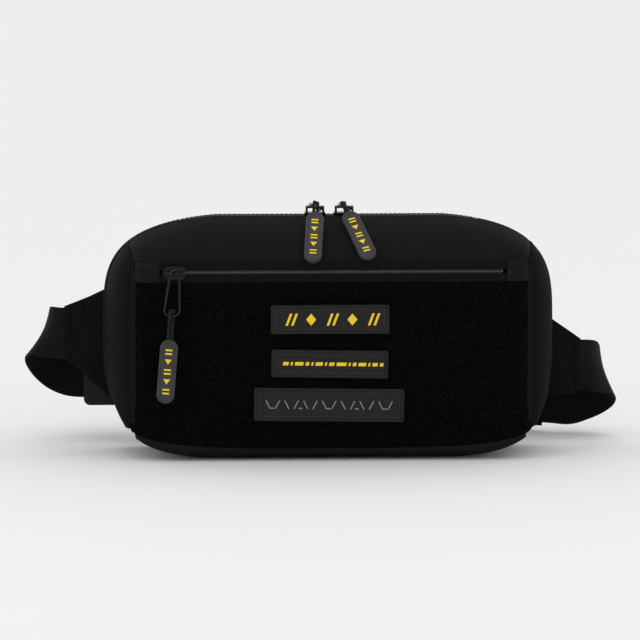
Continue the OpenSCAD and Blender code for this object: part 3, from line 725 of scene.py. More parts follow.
def rowTree():
    # copies of a piece, evenly along a path, turned to follow it
    tree, start = newTree("rowAlongPath", (("Path", "Geometry", None), ("Piece", "Object", None),
                                           ("Spacing", "Float", 0.003), ("Finish", "Material", None)), "Row")
    curve = treeNode(tree, "GeometryNodeMeshToCurve")
    even = treeNode(tree, "GeometryNodeResampleCurve")
    if hasattr(even, "mode"):
        even.mode = "LENGTH"
    else:
        even.inputs["Mode"].default_value = "Length"
    tangent = treeNode(tree, "GeometryNodeInputTangent")
    turn = treeNode(tree, "FunctionNodeAlignRotationToVector", axis="X")
    info = treeNode(tree, "GeometryNodeObjectInfo")
    copies = treeNode(tree, "GeometryNodeInstanceOnPoints")
    link = tree.links.new
    link(start.outputs["Path"], curve.inputs["Mesh"])
    link(curve.outputs[0], even.inputs["Curve"])
    link(start.outputs["Spacing"], even.inputs["Length"])
    link(tangent.outputs[0], turn.inputs["Vector"])
    link(start.outputs["Piece"], info.inputs["Object"])
    link(even.outputs[0], copies.inputs["Points"])
    link(info.outputs["Geometry"], copies.inputs["Instance"])
    link(turn.outputs[0], copies.inputs["Rotation"])
    return endTree(tree, start, copies)


def tuftTree():
    # small loops scattered over a cloth, standing on its faces
    tree, start = newTree("tuftsOnCloth", (
        ("Cloth", "Geometry", None), ("Tuft", "Object", None), ("Density", "Float", 100000.0),
        ("Smallest", "Float", 0.6), ("Largest", "Float", 1.2), ("Seed", "Int", 7),
        ("Finish", "Material", None)), "Pile")
    scatter = treeNode(tree, "GeometryNodeDistributePointsOnFaces", distribute_method="RANDOM")
    info = treeNode(tree, "GeometryNodeObjectInfo")
    size = treeNode(tree, "FunctionNodeRandomValue", data_type="FLOAT")
    spin = treeNode(tree, "FunctionNodeRandomValue", data_type="FLOAT_VECTOR")
    spin.inputs["Min"].default_value = (-0.5, -0.5, 0)
    spin.inputs["Max"].default_value = (0.5, 0.5, math.tau)
    rotate = treeNode(tree, "FunctionNodeRotateRotation", rotation_space="LOCAL")
    asRotation = treeNode(tree, "FunctionNodeEulerToRotation")
    copies = treeNode(tree, "GeometryNodeInstanceOnPoints")
    link = tree.links.new
    link(start.outputs["Cloth"], scatter.inputs["Mesh"])
    link(start.outputs["Density"], scatter.inputs["Density"])
    link(start.outputs["Seed"], scatter.inputs["Seed"])
    link(start.outputs["Smallest"], size.inputs[2])
    link(start.outputs["Largest"], size.inputs[3])
    link(start.outputs["Seed"], size.inputs["Seed"])
    link(start.outputs["Seed"], spin.inputs["Seed"])
    link(start.outputs["Tuft"], info.inputs["Object"])
    link(scatter.outputs["Points"], copies.inputs["Points"])
    link(info.outputs["Geometry"], copies.inputs["Instance"])
    link(spin.outputs[0], asRotation.inputs[0])
    link(scatter.outputs["Rotation"], rotate.inputs[0])
    link(asRotation.outputs[0], rotate.inputs[1])
    link(rotate.outputs[0], copies.inputs["Rotation"])
    link(size.outputs[1], copies.inputs["Scale"])
    return endTree(tree, start, copies)


rows1, tufts1 = rowTree(), tuftTree()


def grown(name, mesh, tree, values):
    # runs a tree on a mesh and keeps the result as a plain mesh
    obj = addObject(name, mesh)
    modifier = obj.modifiers.new("grow", "NODES")
    modifier.node_group = tree
    for item in tree.interface.items_tree:
        if item.in_out == "INPUT" and item.name in values:
            modifier[item.identifier] = values[item.name]
    baked(obj, name)
    obj.data.shade_smooth()
    return obj


def pathMesh(name, lines):
    points, edges = [], []
    for line in lines:
        first = len(points)
        points += [tuple(np.asarray(p, float) * mm) for p in line]
        edges += [(first + i, first + i + 1) for i in range(len(line) - 1)]
    mesh = bpy.data.meshes.new(name)
    mesh.from_pydata(points, edges, [])
    return mesh


def pattern(name, points, faces):
    # a small shape that a tree copies; it is taken away at the end
    mesh = bpy.data.meshes.new(name)
    mesh.from_pydata([tuple(np.asarray(p, float) * mm) for p in points], [], faces)
    faceOutwards(mesh)
    mesh.shade_smooth()
    return addObject(name, mesh)


def lozenge(name, length, radius, sides=6):
    # a short thread or tooth lying along X, thick in the middle
    rings = [(-0.5, 0.0), (-0.36, 0.75), (0, 1.0), (0.36, 0.75), (0.5, 0.0)]
    points = [(rings[0][0] * length, 0, 0)]
    for at, wide in rings[1:-1]:
        for k in range(sides):
            a = math.tau * k / sides
            points.append((at * length, radius * wide * math.cos(a), radius * wide * math.sin(a)))
    points.append((rings[-1][0] * length, 0, 0))
    last = len(points) - 1
    faces = [(0, 1 + k, 1 + (k + 1) % sides) for k in range(sides)]
    for r in range(2):
        for k in range(sides):
            a, b = 1 + r * sides + k, 1 + r * sides + (k + 1) % sides
            faces.append((a, a + sides, b + sides, b))
    faces += [(last, 1 + 2 * sides + (k + 1) % sides, 1 + 2 * sides + k) for k in range(sides)]
    return pattern(name, points, faces)


stitch = {"length": 2.1, "gap": 2.9, "radius": 0.24}
stitchPiece = lozenge("patternStitch", stitch["length"], stitch["radius"])


def stitches(name, lines, body, slotName="shell_fabric", thread="thread", gap=None):
    row = grown(name, pathMesh(name, lines), rows1, {
        "Piece": stitchPiece, "Spacing": (gap or stitch["gap"]) * mm, "Finish": finish[thread]})
    return place(row, finish[thread], body, slotName)


# ---------- loop pile on the front field ----------
pile = {"perSquareMetre": 330000, "smallest": 0.55, "largest": 1.15, "seed": 11}
hoop = []
for k in range(6):
    a = math.pi * k / 5
    for w in (-0.16, 0.16):
        hoop.append((0.62 * math.cos(a), w + 0.12 * math.sin(a), 0.95 * math.sin(a) - 0.05))
tuftPiece = pattern("patternTuft", hoop, [(2 * k, 2 * k + 1, 2 * k + 3, 2 * k + 2) for k in range(5)])
inset = loopOuter[2:-2, 2:-2]
ground = meshFrom("pileGround", inset.reshape(-1, 3), quadGrid(*inset.shape[:2]))


def faceFront(work):
    if sum(f.normal.y for f in work.faces) > 0:
        bmesh.ops.reverse_faces(work, faces=work.faces)


reworked(ground, faceFront)
pileLoops = grown("loop_pile", ground, tufts1, {
    "Tuft": tuftPiece, "Density": float(pile["perSquareMetre"]), "Smallest": pile["smallest"],
    "Largest": pile["largest"], "Seed": pile["seed"], "Finish": finish["loopPile"]})
place(pileLoops, finish["loopPile"], "bag", "loop_pile")
print("loop pile:", len(pileLoops.data.polygons), "faces")


# ---------- zips ----------
pocketZip = {"x": 1, "z": 117.1, "length": 212, "pitch": 1.25, "tapeFace": -32.4, "tapeThick": 0.9}
toothPiece = pattern("patternTooth",
                     [(x, y, z) for x in (-0.42, 0.42) for y, z in
                      ((-0.25, -0.95), (-0.6, -0.55), (-0.7, 0.1), (-0.35, 0.42), (0.3, 0.3), (0.35, -0.9))],
                     [(0, 1, 2, 3, 4, 5), (11, 10, 9, 8, 7, 6)] +
                     [(k, 6 + k, 6 + (k + 1) % 6, (k + 1) % 6) for k in range(6)])
reworked(toothPiece.data, lambda work: bmesh.ops.bevel(
    work, geom=work.edges[:], offset=0.14 * mm, segments=1, affect="EDGES"))
toothBack = toothPiece.data.copy()
toothBack.transform(Matrix.Rotation(math.pi, 4, "Y"))
toothBackPiece = addObject("patternToothBack", toothBack)


def slab(name, x0, x1, y0, y1, z0, z1, nx, nz, along="x", waves=0.0, pitch=1.0):
    # a tape: a closed thin box with a fine grid on its faces and low ribs across it
    xs, zs = np.linspace(x0, x1, nx), np.linspace(z0, z1, nz)
    gx, gz = np.meshgrid(xs, zs, indexing="ij")
    rib = waves * np.sin(gx / pitch * math.tau)
    front = np.stack([gx, np.full(gx.shape, y0) - rib, gz], axis=-1)
    rear = np.stack([gx, np.full(gx.shape, y1), gz], axis=-1)
    points = np.vstack([front.reshape(-1, 3), rear.reshape(-1, 3)])
    faces, _ = closedGrid(nx, nz)
    uv = np.vstack([np.stack([gx, gz], axis=-1).reshape(-1, 2)] * 2)
    mesh = meshFrom(name, points, faces, uv, np.zeros(len(points)))
    faceOutwards(mesh)
    mesh.shade_smooth()
    mesh.set_sharp_from_angle(angle=math.radians(50))
    return addObject(name, mesh)


halfZip = pocketZip["length"] / 2
for side, word, z0, z1 in ((-1, "lower", 110.8, 115.9), (1, "upper", 118.3, 123.6)):
    tape = slab("pocket_tape_" + word, pocketZip["x"] - halfZip, pocketZip["x"] + halfZip,
                pocketZip["tapeFace"], pocketZip["tapeFace"] + pocketZip["tapeThick"], z0, z1, 1061, 5,
                waves=0.1, pitch=1.0)
    place(tape, finish["zipTape"], "bag", "zip_tape", "front_tape_" + word)


def coil(name, at, along, length, pitch, lift, material, replaced, turned=None):
    # two combs of teeth that mesh along a line; lift is the line each comb is set off by
    parts = []
    for k, piece in enumerate((toothPiece, toothBackPiece)):
        first = np.array(at) - np.array(along) * length / 2 + np.array(along) * pitch * 0.5 * k
        last = first + np.array(along) * (length - pitch)
        off = np.array(lift) * (1 if k else -1)
        line = [first + off, last + off]
        comb = grown(name + "_comb" + str(k), pathMesh(name, [line]), rows1, {
            "Piece": piece, "Spacing": pitch * mm, "Finish": finish[material]})
        if turned is not None:
            centre = shift(*(np.array(at) * mm))
            comb.data.transform(centre @ turned @ centre.inverted())
        parts.append(comb)
    joined = joinMeshes(name, [p.data for p in parts])
    for part in parts:
        bpy.data.objects.remove(part)
    return place(addObject(name, joined), finish[material], "bag", "zip_coil", *replaced)


def joinMeshes(name, meshes):
    work = bmesh.new()
    for mesh in meshes:
        work.from_mesh(mesh)
    out = bpy.data.meshes.new(name)
    work.to_mesh(out)
    work.free()
    out.shade_smooth()
    return out


pocketCoil = coil("pocket_coil", (pocketZip["x"], -32.2, pocketZip["z"]), (1, 0, 0), pocketZip["length"] - 4,
                  pocketZip["pitch"], (0, 0, 0.32), "zipCoil", ["front_coil"])
# a row of small light grey dots on the pocket coil's face: painted highlight standing for the glints on the teeth
glintDotY = min(v.co.y for v in pocketCoil.data.vertices) / mm + 0.12
glintDotEnds = [(pocketZip["x"] + side * (halfZip - 3), glintDotY, pocketZip["z"]) for side in (-1, 1)]
glintDotPiece = lozenge("patternCrown", 0.8, 0.26)
paintedGlintDots = grown("pocket_coil_crowns", pathMesh("pocket_coil_crowns", [glintDotEnds]), rows1, {
    "Piece": glintDotPiece, "Spacing": 1.8 * mm, "Finish": finish["greyInk"]})
place(paintedGlintDots, finish["greyInk"], "bag", "zip_coil")


def drape(piece):
    # a flat zip piece sinks with the roof toward its ends
    mesh = piece.data
    at = np.array([v.co for v in mesh.vertices]) / mm
    s = np.clip((backY - at[:, 1]) / shell["depth"], 0, 1)
    at[:, 2] -= np.maximum(0, topZ(s) - roofZ(at[:, 0], s))
    mesh.vertices.foreach_set("co", (at * mm).ravel())
    mesh.update()


for word, y0, y1 in (("front", 2.2, 7.9), ("rear", 10.1, 15.8)):
    tape = slab("main_tape_" + word, -89, 89, -0.45, 0.45, y0, y1, 401, 5, waves=0.08, pitch=1.6)
    # the slab is made standing; here it is laid flat
    tape.data.transform(Matrix(((1, 0, 0, 0), (0, 0, 1, 0), (0, -1, 0, 146.95 * mm), (0, 0, 0, 1))))
    drape(tape)
    place(tape, finish["zipTape"], "bag", "zip_tape", "main_tape_" + word)
drape(coil("main_coil", (0, 9, 146.9), (1, 0, 0), 174, pocketZip["pitch"], (0, 0, 0.32), "mainCoil", ["main_coil"],
           turned=turnX(-90)))
print("zips made")


# ---------- wires, cords and tags ----------
def smoothLine(points, n):
    # a curve through points, n steps for each stretch
    p = [np.asarray(q, float) for q in points]
    out = []
    for i in range(len(p) - 1):
        a, b, c, d = p[max(0, i - 1)], p[i], p[i + 1], p[min(len(p) - 1, i + 2)]
        for k in range(n):
            t = k / n
            out.append(0.5 * (2 * b + (c - a) * t + (2 * a - 5 * b + 4 * c - d) * t * t
                              + (3 * b - a - 3 * c + d) * t ** 3))
    out.append(p[-1])
    return out


def tubeMesh(name, points, radius, sides=16, closed=False):
    # a round tube along points, its ends closed with small domes
    p = [Vector(q) for q in points]
    n = len(p)
    if not closed:
        first, last = (p[0] - p[1]).normalized(), (p[-1] - p[-2]).normalized()
        p = [p[0] + first * radius * 0.55] + p + [p[-1] + last * radius * 0.55]
        n += 2
    def direction(i):
        return (p[(i + 1) % n] - p[i - 1] if closed else p[min(n - 1, i + 1)] - p[max(0, i - 1)]).normalized()
    up = Vector((0.13, 1, 0.07))
    side = up.cross(direction(0)).normalized()
    vertices, uvs, run = [], [], 0.0
    for i in range(n):
        d = direction(i)
        side = (side - d * side.dot(d)).normalized()
        other = d.cross(side)
        if i:
            run += (p[i] - p[i - 1]).length
        r = radius * (0.55 if not closed and i in (0, n - 1) else 1)
        for k in range(sides):
            a = math.tau * k / sides
            vertices.append(p[i] + (side * math.cos(a) + other * math.sin(a)) * r)
            uvs.append((run, radius * a))
    faces = []
    for i in range(n if closed else n - 1):
        for k in range(sides):
            a, b = i * sides + k, i * sides + (k + 1) % sides
            c, e = ((i + 1) % n) * sides + k, ((i + 1) % n) * sides + (k + 1) % sides
            faces.append((a, c, e, b))
    if not closed:
        faces.append(tuple(range(sides)))
        faces.append(tuple((n - 1) * sides + k for k in reversed(range(sides))))
    mesh = meshFrom(name, [tuple(v) for v in vertices], faces, uvs, np.zeros(len(vertices)), 60)
    faceOutwards(mesh)
    mesh.shade_smooth()
    return mesh


pull = {"wire": 1.6, "bar": 0.8, "frontLength": 27, "mainLength": 16.5, "topHalf": 2.8, "lowHalf": 4.6, "sway": 0.3,
        "cord": 2.0, "cordGap": 0.55, "knot": 1.15, "knotLong": 3.0, "tagLong": 39.5, "tagWide": 11, "tagThick": 3.2}
wireR = pull["wire"] / 2
wireOff = pull["bar"] + wireR + 0.35
knotUp = wireR + pull["knot"] + 1.3


def pullEnd(length): return length - wireR


def wireLoop(length):
    low = pull["lowHalf"] - wireR - pullEnd(length)
    def leg(side, t):
        return (side * (pull["topHalf"] + (pull["lowHalf"] - pull["topHalf"]) * t),
                side * (wireOff + (pull["sway"] - wireOff) * t), low * t)
    points = [(pull["topHalf"] * math.sin(a), wireOff * math.sin(a), wireOff * math.cos(a))
              for a in np.radians(np.linspace(-90, 90, 17))]
    points += [leg(1, k / 24) for k in range(1, 24)]
    points += [(pull["lowHalf"] * math.cos(a), pull["sway"] * math.cos(a),
                low + (pull["lowHalf"] - wireR) * math.sin(a)) for a in np.radians(np.linspace(0, -180, 29))]
    points += [leg(-1, k / 24) for k in range(23, 0, -1)]
    return points


def cordLines(length):
    r = pull["cord"] / 2
    off, beside = wireR + r + pull["cordGap"], r + 0.06
    lines = []
    for side in (-1, 1):
        lines.append(smoothLine([
            (side * beside, side * 0.6, knotUp + 0.2), (side * beside, side * off, knotUp - 1.2),
            (side * beside, side * off, 0.6), (side * beside, side * off * 0.9, -0.8),
            (side * beside, side * off * 0.45, -2.6), (side * beside, 0, -4),
            (side * beside, 0, -length)], 7))
    return lines


def plateOutline(wide, high, r, n=14):
    points = []
    for cx, cz, start in ((1, 1, 0), (-1, 1, 90), (-1, -1, 180), (1, -1, 270)):
        for k in range(n + 1):
            a = math.radians(start + 90 * k / n)
            points.append((cx * (wide / 2 - r) + r * math.cos(a), cz * (high / 2 - r) + r * math.sin(a)))
    clean = [points[0]]
    for q in points[1:]:
        if math.dist(q, clean[-1]) > 1e-3:
            clean.append(q)
    if math.dist(clean[0], clean[-1]) < 1e-3:
        clean.pop()
    return clean


def shrunk(wide, high, r, by): return plateOutline(wide - 2 * by, high - 2 * by, max(0.15, r - by))


def platePiece(name, layers):
    # closed piece from outline layers: [(outline, y), ...], the first and last filled in
    count = len(layers[0][0])
    points = [(x, y, z) for outline, y in layers for x, z in outline]
    faces = []
    for i in range(len(layers) - 1):
        for k in range(count):
            a, b = i * count + k, i * count + (k + 1) % count
            faces.append((a, b, b + count, a + count))
    faces.append(tuple(reversed(range(count))))
    faces.append(tuple((len(layers) - 1) * count + k for k in range(count)))
    mesh = meshFrom(name, points, faces, [(p[0], p[2]) for p in points], np.zeros(len(points)), 34)
    faceOutwards(mesh)
    mesh.shade_smooth()
    mesh.set_sharp_from_angle(angle=math.radians(34))
    return mesh


def tagMesh(name, length):
    # a moulded tag with rounded edges and a shallow recess inside a raised rim; it hangs along -Z
    wide, high, t = pull["tagWide"], pull["tagLong"], pull["tagThick"]
    r = wide / 2 - 0.01
    layers = []
    for by, y in ((1.7, t / 2), (0.9, t / 2), (0.25, t / 2 - 0.25), (0, t / 2 - 0.9), (0, -t / 2 + 0.9),
                  (0.12, -t / 2 + 0.45), (0.45, -t / 2 + 0.12), (0.85, -t / 2), (1.25, -t / 2 + 0.08),
                  (1.5, -t / 2 + 0.38), (1.9, -t / 2 + 0.42)):
        layers.append((shrunk(wide, high, r, by), y))
    mesh = platePiece(name, layers)
    mesh.transform(shift(0, 0, -(length + high / 2) * mm))
    return mesh


def markMesh(name, shapes, face, proud):
    # low raised marks: each shape is a polygon in X and Z, set on a face that looks along -Y
    points, faces = [], []
    for shape in shapes:
        first, n = len(points), len(shape)
        points += [(x, face, z) for x, z in shape] + [(x, face - proud, z) for x, z in shape]
        faces.append(tuple(first + n + k for k in range(n)))
        faces.append(tuple(first + k for k in reversed(range(n))))
        faces += [(first + k, first + (k + 1) % n, first + n + (k + 1) % n, first + n + k) for k in range(n)]
    mesh = bpy.data.meshes.new(name)
    mesh.from_pydata([tuple(np.array(p) * mm) for p in points], [], faces)
    faceOutwards(mesh)
    return mesh


def bar(x, z, wide, high, slant=0.0):
    return [(x - wide / 2 - slant, z - high / 2), (x + wide / 2 - slant, z - high / 2),
            (x + wide / 2 + slant, z + high / 2), (x - wide / 2 + slant, z + high / 2)]


def wedge(x, z, wide, high, up=1):
    return [(x - wide / 2, z - up * high / 2), (x + wide / 2, z - up * high / 2), (x, z + up * high / 2)]


def diamond(x, z, wide, high):
    return [(x, z - high / 2), (x + wide / 2, z), (x, z + high / 2), (x - wide / 2, z)]


def putPull(name, ringFrame, barFrame, length, strand, pullerBody, tagBody, pullerNode, cordNode, tagNode):
    wire = tubeMesh(name + "_puller", wireLoop(length), wireR, 16, True)
    wire.transform(barFrame)
    place(addObject(name + "_puller", wire), finish["wire"], pullerBody, "slider_metal", pullerNode)
    tubes = [tubeMesh(name + "_strand" + str(k), line, pull["cord"] / 2, 14)
             for k, line in enumerate(cordLines(strand))]
    half = pull["knotLong"] / 2
    turnsOfKnot = [(half * math.cos(a) * 0.75, 0.55 * math.sin(3 * a), knotUp + 0.5 * math.cos(3 * a))
                   for a in np.radians(np.linspace(0, 180, 26))]
    tubes.append(tubeMesh(name + "_knot", turnsOfKnot, pull["knot"] * 0.82, 12))
    cordMesh = joinMeshes(name + "_cord", tubes)
    cordMesh.transform(ringFrame)
    place(addObject(name + "_cord", cordMesh), finish["cord"], tagBody, "pull_cord", cordNode)
    tag = tagMesh(name + "_tag", strand + 0.3)
    tag.transform(ringFrame)
    place(addObject(name + "_tag", tag), finish["tag"], tagBody, "tag_rubber", tagNode)
    middle = -(strand + 0.3 + pull["tagLong"] / 2)
    shapes = []
    for k in range(5):
        z = middle + (2 - k) * 6.1
        if k % 2 == 0:
            shapes += [bar(0, z + 1.15, 4.2, 1.0), bar(0, z - 1.15, 4.2, 1.0)]
        else:
            shapes += [wedge(0, z, 4.2, 3.2, -1)]
    marks = markMesh(name + "_marks", shapes, -pull["tagThick"] / 2 + 0.45, 0.26)
    marks.transform(ringFrame)
    place(addObject(name + "_marks", marks), finish["yellow"], tagBody, "tag_rubber")


frontBar = shift(-96 * mm, -38 * mm, 117.1 * mm) @ turnY(4.6) @ turnX(-3.5)
frontRing = frontBar @ shift(0, 0, -pullEnd(pull["frontLength"]) * mm) @ turnX(3.5)
putPull("front_pull", frontRing, frontBar, pull["frontLength"], 14, "front_puller_body", "front_tag_body",
        "front_puller", "front_cord", "front_tag")
tagSlope = 90 - math.degrees(math.atan2(shell["height"] - shell["topFront"] + 6.3,
                                        (1 - shell["crest"]) * shell["depth"]))
for side, word, lean in ((-1, "left", -4), (1, "right", 19)):
    barAt = shift(side * 9 * mm, 9 * mm, 152.4 * mm)
    reach = pullEnd(pull["mainLength"]) * mm
    rise = math.radians(6)
    ring = barAt @ shift(0, -reach * math.cos(rise), reach * math.sin(rise)) @ turnX(-tagSlope) @ turnY(-lean)
    putPull("main_pull_" + word, ring, barAt @ turnX(-96), pull["mainLength"], 4.6, "main_puller_" + word + "_body",
            "main_tag_" + word + "_body", "main_puller_" + word, "main_cord_" + word, "main_tag_" + word)


def refined(name, node, width, material, body, slotName, segments=3, angle=32):
    # a CAD shape with its edges rounded over
    mesh = nodes[node].data.copy()
    work = bmesh.new()
    work.from_mesh(mesh)
    bmesh.ops.remove_doubles(work, verts=work.verts, dist=2e-6)
    bmesh.ops.dissolve_limit(work, angle_limit=math.radians(1.5), verts=work.verts, edges=work.edges)
    for layer in list(work.loops.layers.uv.values()):
        work.loops.layers.uv.remove(layer)
    uv = work.loops.layers.uv.new("cloth")
    work.to_mesh(mesh)
    work.free()
    obj = addObject(name, mesh)
    round1 = obj.modifiers.new("round", "BEVEL")
    round1.width = width * mm
    round1.segments = segments
    round1.limit_method = "ANGLE"
    round1.angle_limit = math.radians(angle)
    round1.harden_normals = False
    baked(obj, name)
    co = np.array([v.co for v in obj.data.vertices])
    writeUv(obj.data, np.stack([co[:, 0] + co[:, 1], co[:, 2]], axis=-1))
    obj.data.shade_smooth()
    obj.data.set_sharp_from_angle(angle=math.radians(38))
    return place(obj, finish[material], body, slotName, node)


refined("front_slider_part", "front_slider", 0.35, "slider", "front_slider_body", "slider_metal")
for word in ("left", "right"):
    refined("main_slider_part_" + word, "main_slider_" + word, 0.35, "slider", "main_slider_" + word + "_body",
            "slider_metal")
print("sliders, pullers and tags made")


# ---------- patches ----------
patchThick, hookThick = 1.8, 1.0
patches = {
    "top": {"at": (-1.2, 88.2), "lean": 0, "wide": 72.6, "high": 17.8},
    "mid": {"at": (-1.4, 60.7), "lean": 1, "wide": 71.6, "high": 17.0},
    "low": {"at": (-1.8, 35.4), "lean": 0.8, "wide": 92.0, "high": 20.4},
}
patchMarks = {"top": [], "mid": [], "low": []}
for k in range(5):
    x = (k - 2) * 12.6
    patchMarks["top"] += ([bar(x, 0, 1.5, 7.4, 1.4), bar(x + 3.4, 0, 1.5, 7.4, 1.4)] if k % 2 == 0
                          else [diamond(x + 1, 0, 6.2, 7.4)])
x = -28.6
for k, wide in enumerate([3.4, 1.2, 5.2, 2.2, 1.2, 4.4, 1.2, 3.2, 6.0, 1.2, 2.2, 4.6, 1.2, 3.2, 2.2]):
    patchMarks["mid"].append(bar(x + wide / 2, 0, wide, 2.1, 0.25))
    x += wide + 1.35
for k in range(14):
    x = (k - 6.5) * 5.75
    slant = 1.3 if k % 2 else -1.3
    patchMarks["low"].append(bar(x, 0, 0.75, 5.2, slant))
    if k % 3 == 0:
        patchMarks["low"].append(bar(x + 2.6, -2.2, 2.2, 0.7))
for word, size in patches.items():
    cx, cz = size["at"]
    frame1 = shift(cx * mm, 0, cz * mm) @ turnY(size["lean"])
    wide, high = size["wide"], size["high"]
    back1 = frontY - 0.3 - hookThick
    face1 = back1 - patchThick
    layers = [(shrunk(wide, high, 1.4, by), y) for by, y in (
        (0.5, back1), (0, back1 - 0.2), (0, face1 + 0.35), (0.12, face1 + 0.1), (0.38, face1),
        (1.3, face1), (1.5, face1 + 0.1), (1.62, face1 + 0.48), (2.2, face1 + 0.5))]
    plate = platePiece("patch_face_" + word, layers)
    plate.transform(frame1)
    place(addObject("patch_face_" + word, plate), finish["patch"], "patch_" + word, "patch_rubber",
          "patch_" + word + "_face")
    layers = [(shrunk(wide - 2, high - 2, 1, by), y) for by, y in (
        (0.2, frontY - 0.3), (0, frontY - 0.5), (0, back1 + 0.1), (0.1, back1))]
    hook = platePiece("patch_hook_" + word, layers)
    hook.transform(frame1)
    place(addObject("patch_hook_" + word, hook), finish["hook"], "patch_" + word, "hook_tape",
          "patch_" + word + "_hook")
    marks = markMesh("patch_marks_" + word, patchMarks[word], face1 + 0.5, 0.24)
    marks.transform(frame1)
    place(addObject("patch_marks_" + word, marks), finish["greyInk" if word == "low" else "yellow"],
          "patch_" + word, "patch_rubber")
    ring = shrunk(wide, high, 1.4, 2.9)
    line = [tuple(frame1 @ Vector((x * mm, (face1 + 0.42) * mm, z * mm)) / mm) for x, z in ring + ring[:1]]
    stitches("patch_stitches_" + word, [line], "patch_" + word, "patch_rubber", "patchThread", 2.4)
print("patches made")


# ---------- seams ----------
def seamCord(name, line, radius, body="bag", closed=False, material="binding", slotName="piping", replaced=()):
    mesh = tubeMesh(name, line, radius, 12, closed)
    return place(addObject(name, mesh), finish[material], body, slotName, *replaced)


# piping round the back edge
pipe = {"radius": 1.8, "y": 34.7, "points": 260}
angles = np.linspace(0, math.tau, 4000, endpoint=False)
edge = ringPoint(angles, np.zeros(4000))
edge = np.vstack([edge, edge[:1]])
run = np.concatenate([[0], np.linalg.norm(np.diff(edge, axis=0), axis=1).cumsum()])
want = np.linspace(0, run[-1], pipe["points"] + 1)[:-1]
ring = np.stack([np.interp(want, run, edge[:, 0]), np.full(want.shape, pipe["y"]),
                 np.maximum(pipe["radius"], np.interp(want, run, edge[:, 2]))], axis=-1)
seamCord("back_piping_cord", [tuple(p) for p in ring], pipe["radius"], closed=True, replaced=("back_piping",))

# stitch rows: beside the side seams, along the zip and along the yoke
def surfaceLine(xs, zs, off=0.12):
    xs, zs = np.broadcast_arrays(np.asarray(xs, float), np.asarray(zs, float))
    ys = depthY(depthAt(xs, zs)) - off
    return [tuple(p) for p in np.stack([xs, ys, zs], axis=-1)]


xRow = np.linspace(-116, 116, 160)
stitches("zip_stitches", [surfaceLine(xRow, np.full(160, 126.2), 0.45)], "bag")
crestX = np.linspace(-118, 118, 160)
for word, s0 in (("front", frontS + 0.045), ("rear", rearS - 0.045)):
    line = [(x, float(depthY(s0)), float(roofZ(x, s0)) + 0.45) for x in crestX]
    stitches("crest_stitches_" + word, [line], "bag")
sideLine = ringPoint(angleA[6:-6] * 0.955 + angleB[6:-6] * 0.045, sA[6:-6] * 0.955)
for side, word in ((-1, "left"), (1, "right")):
    line = [(side * (p[0] + 0.3), p[1], p[2]) for p in sideLine]
    stitches("side_stitches_" + word, [line], "bag", "side_fabric")
print("seams made")


# ---------- padded back and wings ----------
def puff(obj, pinned, pressure, cap, shrink=0.0, floorY=None, frames=20, tension=25):
    # cloth with air inside: pinned points hold the seams, and no point moves more than cap
    start = np.array([v.co for v in obj.data.vertices])
    group = obj.vertex_groups.new(name="seams")
    group.add([int(i) for i in pinned], 1.0, "REPLACE")
    cloth = obj.modifiers.new("air", "CLOTH")
    cloth.settings.quality = 6
    cloth.settings.mass = 0.25
    cloth.settings.tension_stiffness = tension
    cloth.settings.compression_stiffness = tension
    cloth.settings.bending_stiffness = 0.4
    cloth.settings.use_pressure = True
    cloth.settings.uniform_pressure_force = pressure
    cloth.settings.shrink_min = shrink
    cloth.settings.vertex_group_mass = "seams"
    cloth.settings.effector_weights.gravity = 0
    cloth.collision_settings.use_collision = False
    cloth.collision_settings.use_self_collision = False
    scene = bpy.context.scene
    for step in range(1, frames + 1):
        scene.frame_set(step)
    baked(obj, obj.name)
    scene.frame_set(1)
    obj.vertex_groups.clear()
    now = np.array([v.co for v in obj.data.vertices])
    move = now - start
    far = np.linalg.norm(move, axis=1, keepdims=True)
    move *= np.minimum(1, cap * mm / np.maximum(far, 1e-9))
    now = start + move
    if floorY is not None:
        now[:, 1] = np.maximum(now[:, 1], floorY * mm)
    obj.data.vertices.foreach_set("co", now.ravel())
    obj.data.update()
    smooth = obj.modifiers.new("soften", "SUBSURF")
    smooth.levels = smooth.render_levels = 1
    baked(obj, obj.name)
    obj.data.shade_smooth()
    return obj


def padMesh(name, front, rear):
    # two matching grids of points, closed at the rim; returns the mesh and its grid indices
    rows, cols = front.shape[:2]
    points = np.vstack([front.reshape(-1, 3), rear.reshape(-1, 3)])
    faces, ring = closedGrid(rows, cols)
    uv = np.vstack([np.stack([front[..., 0], front[..., 2]], axis=-1).reshape(-1, 2)] * 2)
    mesh = bpy.data.meshes.new(name)
    mesh.from_pydata([tuple(p) for p in points * mm], [], faces)
    writeUv(mesh, uv * mm)
    reworked(mesh, outwards)
    return mesh, np.array(ring)


# the back panel's cloth: a closed sheet that follows the piped outline and gathers a little near it
backCloth = {"y": 33.1, "thick": 0.8, "rings": 30, "spokes": 360, "ripple": 0.16}
spoke = np.linspace(0, math.tau, backCloth["spokes"], endpoint=False)
outline = ringPoint(spoke, np.zeros(spoke.shape))
share = np.linspace(0.12, 1, backCloth["rings"])[:, None]
clothX, clothZ = outline[:, 0] * share, midZ + (outline[:, 2] - midZ) * share
gathers = np.clip((share - 0.8) / 0.1, 0, 1) * np.clip((1 - share) / 0.03, 0, 1)
lift = backCloth["ripple"] * np.sin(spoke * 34 + share * 5) * gathers
faceY = backCloth["y"] + backCloth["thick"] + lift
backLayers = [np.stack([clothX, y, clothZ], axis=-1).reshape(-1, 3)
              for y in (faceY, np.full(faceY.shape, backCloth["y"]))]
clothCount, n = len(backLayers[0]), backCloth["spokes"]
clothPoints = np.vstack(backLayers + [[(0, backCloth["y"] + backCloth["thick"], midZ), (0, backCloth["y"], midZ)]])
clothFaces = []
